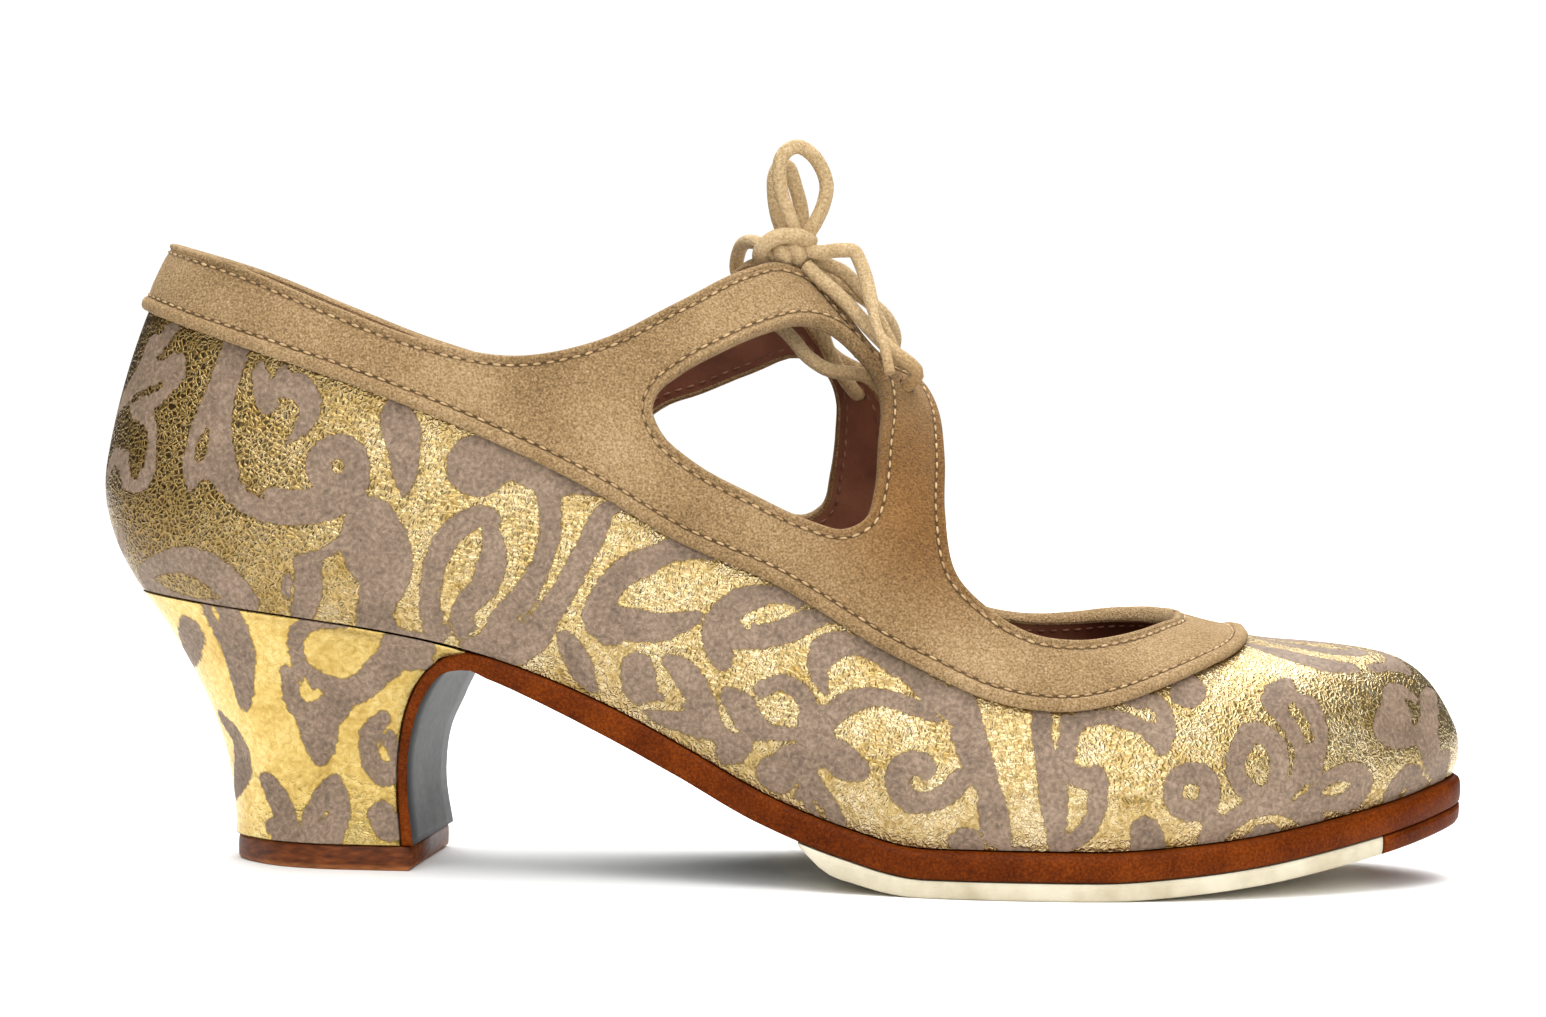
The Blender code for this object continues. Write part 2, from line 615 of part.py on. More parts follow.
def make_insole():
    rings = []
    for turn in np.linspace(0.0, np.pi, 41):
        inset = last_column("tuck", turn) + WALL + 1.0
        outer = [sole_point(turn, LATERAL, inset, -level) for level in (GAP, GAP + INSOLE)]
        inner = [sole_point(turn, MEDIAL, inset, -level) for level in (GAP + INSOLE, GAP)]
        rings.append(outer + inner)
    material = finish("insole_leather", (0.10, 0.045, 0.02), 0.6)
    smooth(skin("insole", rings, material, cap_start=False, cap_end=False))


def seat_outline(count=15):
    """Heel seat in plan, from the outer front corner round the back to the inner one."""
    turns = np.linspace(float(turn_at(-54.0)), 0.0, count)
    outer = np.array([plan_outline(t, LATERAL, last_column("tuck", t)) for t in turns])
    inner = np.array([plan_outline(t, MEDIAL, last_column("tuck", t)) for t in turns[-2::-1]])
    return np.vstack((outer, inner))


def heel_ring(row, share):
    """One level of the covered heel: share runs from 0 at the lift to 1 at the seat."""
    seat = seat_outline()
    seat_back = seat[:, 0].min()
    along = np.clip((seat[:, 0] - seat_back) / (seat[0, 0] - seat_back), 0.0, 1.0)
    across = np.where(seat[:, 1] < 0.0, seat[:, 1] / -seat[0, 1], seat[:, 1] / seat[-1, 1])
    edge = np.where(seat[:, 1] < 0.0, BREAST["lateral"][row], BREAST["medial"][row])
    y = across * edge
    back = HEEL_BOTTOM_BACK + (seat_back - HEEL_BOTTOM_BACK) * share**2
    front = BREAST["back_x"][row] - 0.4
    x = back + along * (front - back) + breast_skew(row, y) * along**2
    low = LIFT + GAP
    z = low + share * (feather_height(seat[:, 0]) - GAP - low)
    return np.column_stack((x, y, z))


def make_heel():
    """Covered heel: it sweeps in from the seat to the lift, and its breast is hollowed."""
    low = LIFT + GAP
    top = float(feather_height(-54.5)) - GAP
    shares = (BREAST["back_z"] - low) / (top - low)
    shares[-1] = 1.0
    rings = [heel_ring(row, share) for row, share in enumerate(shares)]
    smooth(skin("heel_block", rings, finish("heel_cover", (0.62, 0.47, 0.16), 0.4, 0.6)))


def make_lift():
    """Flat top piece under the heel and the foot of the breast."""
    base = heel_ring(0, 0.0)
    middle = base[:, :2].mean(axis=0)
    rings = []
    for z, grow, ahead in ((0.0, -1.2, 1.9), (0.5, -0.6, 2.4), (LIFT - 0.5, -0.6, 2.4), (LIFT, -0.8, 2.2)):
        away = base[:, :2] - middle
        out = away / np.linalg.norm(away, axis=1)[:, None]
        plan = base[:, :2] + out * grow
        plan[:, 0] += ahead * (away[:, 0] > away[:, 0].max() - 6.0)
        rings.append(np.column_stack((plan, np.full(len(plan), z))))
    smooth(skin("heel_lift", rings, finish("lift_leather", (0.20, 0.06, 0.03), 0.45)))


def cord_tube(name, run, material):
    """Round cord along a run of points."""
    curve = bpy.data.curves.new(name, "CURVE")
    curve.dimensions = "3D"
    curve.bevel_depth = CORD * 0.0005
    curve.bevel_resolution = 2
    curve.use_fill_caps = True
    spline = curve.splines.new("POLY")
    spline.points.add(len(run) - 1)
    for point, co in zip(spline.points, place(run)):
        point.co = (*co, 1.0)
    return add_object(name, curve, SHOE, material)


def hole_points(name, heights):
    """Points on a lace hole's axis, at heights over the upper's outer face."""
    return [wall_point(*HOLES[name], height) for height in heights]


def make_lace(material):
    """Each half of the lace runs from the knot over the instep, in through a hole and back up."""
    entering = (4.2, 1.3, -2.2, -4.6)
    leaving = (-2.4, 1.3, 3.6)
    outer = [*OUTER_RISER, *hole_points("hole_lateral", entering), *OUTER_INSIDE]
    outer += [*hole_points("hole_medial_top", leaving), *OUTER_OVER]
    inner = [*INNER_RISER, *hole_points("hole_medial", entering), *INNER_INSIDE]
    cord_tube("lace_outer_half", path_through(outer, 2), material)
    cord_tube("lace_inner_half", path_through(inner, 2), material)


def make_bow(material):
    """The knot, two loops and two ends."""
    bpy.ops.mesh.primitive_uv_sphere_add(segments=16, ring_count=10, radius=1.0)
    knot = bpy.context.object
    knot.name = "lace_knot"
    knot.data.name = "lace_knot"
    knot.data.transform(Matrix.Diagonal((*(KNOT_RADII * 0.001), 1.0)))
    knot.location = place(KNOT)
    for old in list(knot.users_collection):
        old.objects.unlink(knot)
    SHOE.objects.link(knot)
    knot.data.materials.append(material)
    smooth(knot)
    cord_tube("lace_loop_front", path_through(LOOP_FRONT, 2), material)
    cord_tube("lace_loop_back", path_through(LOOP_BACK, 2), material)
    cord_tube("lace_end_near", path_through(END_NEAR, 2), material)
    cord_tube("lace_end_far", path_through(END_FAR, 2), material)


OPENINGS = opening_cutters()
make_upper(OPENINGS)
make_overlay(OPENINGS)
make_insole()
make_outsole()
forefoot_piece("half_sole", RUBBER_START, RUBBER_END, 22, finish("rubber", (0.72, 0.66, 0.51), 0.7), False)
TOE_LEATHER = finish("toe_leather", (0.27, 0.09, 0.035), 0.4)
forefoot_piece("toe_piece", RUBBER_END + 0.4, TOE_FRONT, 10, TOE_LEATHER, True)
make_heel()
make_lift()
LACE = finish("lace_suede", (0.50, 0.33, 0.15), 0.95)
make_lace(LACE)
make_bow(LACE)
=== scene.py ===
"""Looks of a flamenco shoe for a right foot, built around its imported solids.

The frame is the part's own: +X to the toe, +Y to the inner side of the foot, +Z up, in metres.
Shapes below are worked out in millimetres from the last's own zero and put in place at the end.
"""

import math

import bpy
import numpy as np
from mathutils import Matrix


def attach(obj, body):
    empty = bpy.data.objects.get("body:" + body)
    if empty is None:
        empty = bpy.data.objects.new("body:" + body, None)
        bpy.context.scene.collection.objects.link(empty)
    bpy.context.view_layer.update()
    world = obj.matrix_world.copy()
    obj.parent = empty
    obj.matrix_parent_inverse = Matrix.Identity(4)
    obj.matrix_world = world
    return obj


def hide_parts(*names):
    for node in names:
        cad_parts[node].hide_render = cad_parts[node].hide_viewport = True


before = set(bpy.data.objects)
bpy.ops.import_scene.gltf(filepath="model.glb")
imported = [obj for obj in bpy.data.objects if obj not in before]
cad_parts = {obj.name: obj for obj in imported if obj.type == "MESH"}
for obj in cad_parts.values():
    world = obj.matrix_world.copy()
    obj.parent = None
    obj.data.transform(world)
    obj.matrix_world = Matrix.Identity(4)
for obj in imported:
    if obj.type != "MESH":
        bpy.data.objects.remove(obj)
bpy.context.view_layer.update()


# The upper: thin cowhide with a gold foil pressed on, printed with a taupe damask of scrolls and
# leaves. It is pulled in one piece over the last, the wooden foot form, and goes in under the sole;
# every wall of the shoe is a lift off the last's face.
LATERAL, MEDIAL = -1.0, 1.0
HEEL_BACK, TOE_FRONT = -124.8, 130.0
CONE_BACK, RIDGE_FRONT = -62.0, 100.0
MIDDLE = np.array([2.39, -5.83, 0.0])


def columns(names, rows):
    """A table as one array for each named column."""
    return dict(zip(names.split(), np.array(rows, dtype=float).T))


LAST = columns(
    "x lateral medial tuck tuck_rise peak shoulder",
    (
        (HEEL_BACK, 0.0, 0.0, 8.8, 24.0, 1.00, 2.0),
        (-113.0, 19.5, 19.5, 7.0, 22.0, 1.00, 2.0),
        (-100.0, 27.0, 27.0, 5.0, 20.0, 1.00, 2.0),
        (-84.0, 31.2, 30.3, 4.0, 18.0, 1.00, 2.0),
        (-64.0, 32.3, 30.0, 3.6, 16.0, 1.05, 2.0),
        (-44.0, 32.7, 27.8, 3.4, 15.0, 1.15, 2.0),
        (-24.0, 34.5, 26.3, 3.2, 14.0, 1.25, 2.0),
        (-4.0, 39.0, 26.8, 3.0, 13.0, 1.30, 2.0),
        (16.0, 44.3, 30.0, 2.8, 12.0, 1.30, 2.0),
        (34.0, 48.0, 34.3, 2.6, 12.0, 1.20, 2.0),
        (50.0, 48.7, 36.6, 2.6, 12.0, 1.10, 2.0),
        (66.0, 46.8, 37.0, 2.6, 11.0, 0.95, 2.2),
        (82.0, 42.0, 35.0, 2.6, 11.0, 0.75, 2.6),
        (97.0, 34.8, 30.5, 2.8, 10.0, 0.50, 3.2),
        (110.0, 26.3, 25.0, 3.0, 9.5, 0.30, 4.0),
        (121.0, 16.5, 17.0, 3.3, 9.0, 0.18, 4.4),
        (TOE_FRONT, 0.0, 0.0, 3.5, 9.0, 0.12, 4.6),
    ),
)
FEATHER = columns(
    "x z",
    (
        (-117.0, 49.5), (-100.0, 47.8), (-85.0, 46.2), (-70.0, 44.2), (-57.0, 41.7), (-45.0, 38.2),
        (-30.0, 32.3), (-15.0, 24.8), (0.0, 16.9), (14.0, 11.7), (28.0, 8.7), (58.0, 8.7),
        (72.0, 9.5), (88.0, 11.3), (103.0, 14.0), (116.0, 16.7), (127.0, 19.6),
    ),
)
RIDGE = columns(
    "x z",
    (
        (CONE_BACK, 148.0), (-45.0, 141.8), (-25.0, 131.2), (-10.0, 121.4), (4.0, 110.8), (12.0, 103.4),
        (18.5, 97.0), (25.0, 90.4), (33.0, 81.4), (42.0, 70.5), (54.0, 58.3), (66.0, 50.3), (77.0, 46.4),
        (90.0, 43.9), (RIDGE_FRONT, 43.3),
    ),
)


def through(knots, values, at):
    """Cubic Hermite curve through table rows; its slope is zero where the rows turn or stay level."""
    step = np.diff(values) / np.diff(knots)
    slope = np.gradient(values, knots)
    slope[1:-1] = np.where(step[1:] * step[:-1] <= 0.0, 0.0, slope[1:-1])
    at = np.clip(at, knots[0], knots[-1])
    row = np.clip(np.searchsorted(knots, at, side="right") - 1, 0, len(knots) - 2)
    span = knots[row + 1] - knots[row]
    t = (at - knots[row]) / span
    rest = 1.0 - t
    start = values[row] * (1.0 + 2.0 * t) * rest**2 + slope[row] * span * t * rest**2
    return start + values[row + 1] * (3.0 - 2.0 * t) * t**2 - slope[row + 1] * span * rest * t**2


def smooth_run(points, steps, closed=False):
    """Cubic Hermite run through given points, each pair split into equal steps."""
    points = np.array(points, dtype=float)
    if closed:
        points = np.vstack((points[-2:], points, points[:3]))
    chord = np.concatenate(([0.0], np.cumsum(np.linalg.norm(np.diff(points, axis=0), axis=1))))
    tangent = np.gradient(points, chord, axis=0)
    rows = np.arange(2, len(points) - 3) if closed else np.arange(len(points) - 1)
    t = (np.arange(steps) / steps)[None, :, None]
    rest = 1.0 - t
    span = (chord[rows + 1] - chord[rows])[:, None, None]
    a, b = points[rows][:, None], points[rows + 1][:, None]
    slope_a, slope_b = tangent[rows][:, None], tangent[rows + 1][:, None]
    run = a * (1.0 + 2.0 * t) * rest**2 + slope_a * span * t * rest**2
    run = run + b * (3.0 - 2.0 * t) * t**2 - slope_b * span * rest * t**2
    run = run.reshape(-1, points.shape[1])
    return run if closed else np.vstack((run, points[-1:]))


def turn_of(x):
    """Place on the plan loop, 0 at the heel's back and pi at the toe's front, from x."""
    return np.arccos(np.clip(1.0 - 2.0 * (x - HEEL_BACK) / (TOE_FRONT - HEEL_BACK), -1.0, 1.0))


def last_column(name, turn):
    """A column of the last's table at a place on the plan loop."""
    return through(turn_of(LAST["x"]), LAST[name], turn)


def half_width(turn, side):
    """Half breadth of the last's plan on one side, from the table's lateral or medial column."""
    return last_column("lateral" if side < 0.0 else "medial", turn)


def feather_height(x):
    """Height of the feather edge, where the wall meets the sole, on the curve through its table."""
    return through(FEATHER["x"], FEATHER["z"], x)


def plan_outline(turn, side, inset):
    """Plan of the last at its fullest, moved square to itself by inset: x = cosine run, y = half width."""
    length, step = TOE_FRONT - HEEL_BACK, 0.01
    ahead = half_width(np.clip(turn + step, 0.0, np.pi), side)
    behind = half_width(np.clip(turn - step, 0.0, np.pi), side)
    along_x = length * np.sin(turn) / 2.0
    along_y = (ahead - behind) / (2.0 * step)
    along_y = along_y * np.where((turn < step) | (turn > np.pi - step), 2.0, 1.0)
    size = np.hypot(along_x, along_y) + 1e-9
    x = HEEL_BACK + length * (1.0 - np.cos(turn)) / 2.0 + inset * along_y / size
    return x, side * (half_width(turn, side) - inset * along_x / size)


def last_point(turn, rise, side):
    """Face of the last: rise runs from 0 at the feather edge to pi/2 on the ridge.

    Sections fan from the plan to the ridge. Height falls off the ridge as
    peak * e + (1 - peak) * e ** shoulder with e = 1 - sin(rise), and the wall tucks in below.
    """
    fall, spread = 1.0 - np.sin(rise), np.cos(rise)
    outer_x, outer_y = plan_outline(turn, side, 0.0)
    foot_x, foot_y = plan_outline(turn, side, last_column("tuck", turn))
    low = feather_height(foot_x)
    ridge_x = CONE_BACK + (RIDGE_FRONT - CONE_BACK) * (1.0 - np.cos(turn)) / 2.0
    high = through(RIDGE["x"], RIDGE["z"], ridge_x)
    peak = last_column("peak", turn)
    z = high - (high - low) * (peak * fall + (1.0 - peak) * fall ** last_column("shoulder", turn))
    heel_share = (1.0 + np.cos(turn)) / 2.0
    reach = heel_share * spread + (1.0 - heel_share) * fall
    pull = (1.0 - np.clip((z - low) / last_column("tuck_rise", turn), 0.0, 1.0)) ** 2
    x = ridge_x + (outer_x - ridge_x) * reach + (foot_x - outer_x) * pull
    y = outer_y * spread + (foot_y - outer_y) * pull
    return np.stack(np.broadcast_arrays(x, y, z), axis=-1)


def wall_frame(turn, rise, side, step=1e-3):
    """Point on the last, its two slopes by central differences, and the outward unit normal."""
    here = last_point(turn, rise, side)
    turn_high, turn_low = np.minimum(turn + step, np.pi), np.maximum(turn - step, 0.0)
    rise_high, rise_low = np.minimum(rise + step, np.pi / 2.0), np.maximum(rise - step, 0.0)
    by_turn = last_point(turn_high, rise, side) - last_point(turn_low, rise, side)
    by_rise = last_point(turn, rise_high, side) - last_point(turn, rise_low, side)
    by_turn = by_turn / (turn_high - turn_low)[..., None]
    by_rise = by_rise / (rise_high - rise_low)[..., None]
    normal = np.cross(by_turn, by_rise) * -side + np.array((0.0, 0.0, 1e-4))
    return here, by_turn, by_rise, normal / np.linalg.norm(normal, axis=-1, keepdims=True)


def wall(turn, rise, side, lift):
    """Point at a height over the last, along its normal."""
    here, _, _, normal = wall_frame(turn, rise, side)
    return here + normal * np.asarray(lift)[..., None]


def place(points):
    """Millimetres from the last's own zero to metres in the part's frame."""
    return (np.asarray(points, dtype=float) - MIDDLE) * 0.001


def half_grid(across=330, up=104):
    """One half of the last as a grid: even steps round the plan, and finer steps near the feather."""
    fine = np.linspace(0.0, np.pi, 2000)
    x, y = plan_outline(fine, LATERAL, 0.0)
    length = np.concatenate(([0.0], np.cumsum(np.hypot(np.diff(x), np.diff(y)))))
    turns = np.interp(np.linspace(0.0, length[-1], across), length, fine)
    rises = np.linspace(0.0, 1.0, up) ** 1.2 * np.pi / 2.0
    values = np.stack(np.meshgrid(turns, rises, indexing="ij"), axis=-1).reshape(-1, 2)
    corner = (np.arange(across - 1)[:, None] * up + np.arange(up - 1)).ravel()
    first = np.column_stack((corner, corner + up, corner + up + 1))
    second = np.column_stack((corner, corner + up + 1, corner + 1))
    return values, np.vstack((first, second))


def trimmed(values, faces, keep):
    """Cut triangles off where keep is negative, along the line where it crosses zero."""
    inside = keep > 0.0
    count = inside[faces].sum(axis=1)
    one, two = faces[count == 1], faces[count == 2]
    turned = (np.argmax(inside[one], axis=1)[:, None] + np.arange(3)) % 3
    one = np.take_along_axis(one, turned, axis=1)
    turned = (np.argmin(inside[two], axis=1)[:, None] + np.arange(3)) % 3
    two = np.take_along_axis(two, turned, axis=1)
    pairs = np.vstack((one[:, [0, 1]], one[:, [0, 2]], two[:, [0, 1]], two[:, [0, 2]]))
    edges, which = np.unique(np.sort(pairs, axis=1), axis=0, return_inverse=True)
    which = which.ravel() + len(values)
    a, b = edges.T
    share = (keep[a] / (keep[a] - keep[b]))[:, None]
    grown = np.vstack((values, values[a] + (values[b] - values[a]) * share))
    n, m = len(one), len(two)
    one_a, one_b = which[:n], which[n : 2 * n]
    two_a, two_b = which[2 * n : 2 * n + m], which[2 * n + m :]
    kept = [
        faces[count == 3],
        np.column_stack((one[:, 0], one_a, one_b)),
        np.column_stack((two_a, two[:, 1], two[:, 2])),
        np.column_stack((two_a, two[:, 2], two_b)),
    ]
    kept = np.vstack(kept)
    used, back = np.unique(kept, return_inverse=True)
    return grown[used], back.reshape(kept.shape)


def outline_distance(points, outline):
    """Distance to a closed outline, positive inside it: least distance to its edges, with ray parity."""
    a, b = outline, np.roll(outline, -1, axis=0)
    nearest = np.full(len(points), 1e9)
    inside = np.zeros(len(points), dtype=bool)
    for start, end in zip(a, b):
        run = end - start
        away = points - start
        t = np.clip((away @ run) / max(run @ run, 1e-12), 0.0, 1.0)
        nearest = np.minimum(nearest, ((away - t[:, None] * run) ** 2).sum(axis=1))
        crosses = (start[1] > points[:, 1]) != (end[1] > points[:, 1])
        at = start[0] + (points[:, 1] - start[1]) * run[0] / (run[1] if run[1] else 1e-12)
        inside ^= crosses & (points[:, 0] < at)
    return np.where(inside, 1.0, -1.0) * np.sqrt(nearest)


def make_piece(name, points, faces, materials, attributes=None, kinds=None, replaces=()):
    """Mesh piece from millimetre points and triangles, welded where points meet, smooth, on the shoe."""
    _, first, back = np.unique(np.round(points, 3), axis=0, return_index=True, return_inverse=True)
    faces = back.ravel()[np.asarray(faces)]
    a, b, c = faces.T
    whole = (a != b) & (b != c) & (c != a)
    mesh = bpy.data.meshes.new(name)
    mesh.from_pydata(place(points[first]).tolist(), [], faces[whole].tolist())
    for key, values in (attributes or {}).items():
        values = np.asarray(values, dtype=np.float32)[first]
        mesh.attributes.new(key, "FLOAT", "POINT").data.foreach_set("value", values)
    mesh.shade_smooth()
    for material in materials:
        mesh.materials.append(material)
    if kinds is not None:
        mesh.polygons.foreach_set("material_index", np.asarray(kinds, dtype=np.int32)[whole])
    piece = bpy.data.objects.new(name, mesh)
    bpy.context.scene.collection.objects.link(piece)
    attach(piece, "root")
    if replaces:
        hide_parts(*replaces)
    return piece


def linear(hex_colour):
    """sRGB hex value to linear RGBA."""
    parts = [int(hex_colour[k : k + 2], 16) / 255.0 for k in (1, 3, 5)]
    return tuple(((c + 0.055) / 1.055) ** 2.4 if c > 0.04045 else c / 12.92 for c in parts) + (1.0,)


def fill(material, node, settings):
    """Set a node: each setting is a property, a ramp's stops, or a socket's value, hex colour or input."""
    for key, value in settings.items():
        if key == "stops":
            stops = node.color_ramp.elements
            while len(stops) < len(value):
                stops.new(0.5)
            for stop, (at, colour) in zip(stops, value):
                stop.position, stop.color = at, linear(colour)
        elif isinstance(value, bpy.types.NodeSocket):
            material.node_tree.links.new(value, node.inputs[key])
        elif isinstance(key, int) or key in node.inputs:
            node.inputs[key].default_value = linear(value) if isinstance(value, str) else value
        else:
            setattr(node, key, value)


def add(material, kind, settings, output=0):
    """Add a node with its settings and links, and give one of its outputs."""
    node = material.node_tree.nodes.new("ShaderNode" + kind)
    fill(material, node, settings)
    return node.outputs[output]


def new_material(name):
    """Node material with its shader and the place on the piece, in metres."""
    material = bpy.data.materials.new(name)
    material.use_nodes = True
    here = add(material, "TexCoord", {}, "Object")
    return material, material.node_tree.nodes["Principled BSDF"], here


# The side elevation that the damask is charted on, which is the camera's: scale, distance, height and tilt
VIEW_SCALE, VIEW_AWAY, VIEW_UP = 4275.5, 790.0, 95.0
VIEW_TIP, VIEW_TURN = math.atan2(156.5, VIEW_SCALE), math.radians(1.0)
CHART_MIDDLE, CHART_PER_MM = (773.0, 508.5), 5.412


def chart_place(points):
    """Side elevation in chart units: across and down over depth, tipped 2.1 and turned 1 degree."""
    away, up = points[:, 1] + VIEW_AWAY, points[:, 2] - VIEW_UP
    depth = away * math.cos(VIEW_TIP) - up * math.sin(VIEW_TIP)
    across = VIEW_SCALE * points[:, 0] / depth
    down = -VIEW_SCALE * (up * math.cos(VIEW_TIP) + away * math.sin(VIEW_TIP)) / depth
    c, s = math.cos(VIEW_TURN), math.sin(VIEW_TURN)
    return np.column_stack((CHART_MIDDLE[0] + across * c - down * s, CHART_MIDDLE[1] + across * s + down * c))


def stroke_depth(at, strokes):
    """Depth inside a set of tapered strokes: radius less distance, the largest over all stroke steps."""
    best = np.full(len(at), -60.0)
    for stroke in strokes:
        rows = np.array(stroke, dtype=float)
        run = smooth_run(rows, 4) if len(rows) > 1 else np.vstack((rows, rows + (0.01, 0.0, 0.0)))
        reach = run[:, 2].max() + 12.0
        low, high = run[:, :2].min(axis=0) - reach, run[:, :2].max(axis=0) + reach
        near = np.flatnonzero(((at > low) & (at < high)).all(axis=1))
        if not len(near):
            continue
        here = at[near]
        for a, b in zip(run[:-1], run[1:]):
            along = b[:2] - a[:2]
            t = np.clip((here - a[:2]) @ along / max(along @ along, 1e-9), 0.0, 1.0)
            gap = np.linalg.norm(here - a[:2] - t[:, None] * along, axis=1)
            best[near] = np.maximum(best[near], a[2] + (b[2] - a[2]) * t - gap)
    return best


def damask_depth(points, leaves, slits):
    """Millimetres inside the taupe motif: inside its strokes and outside the gold slits cut in them."""
    at = chart_place(points)
    return np.minimum(stroke_depth(at, leaves), -stroke_depth(at, slits)) / CHART_PER_MM


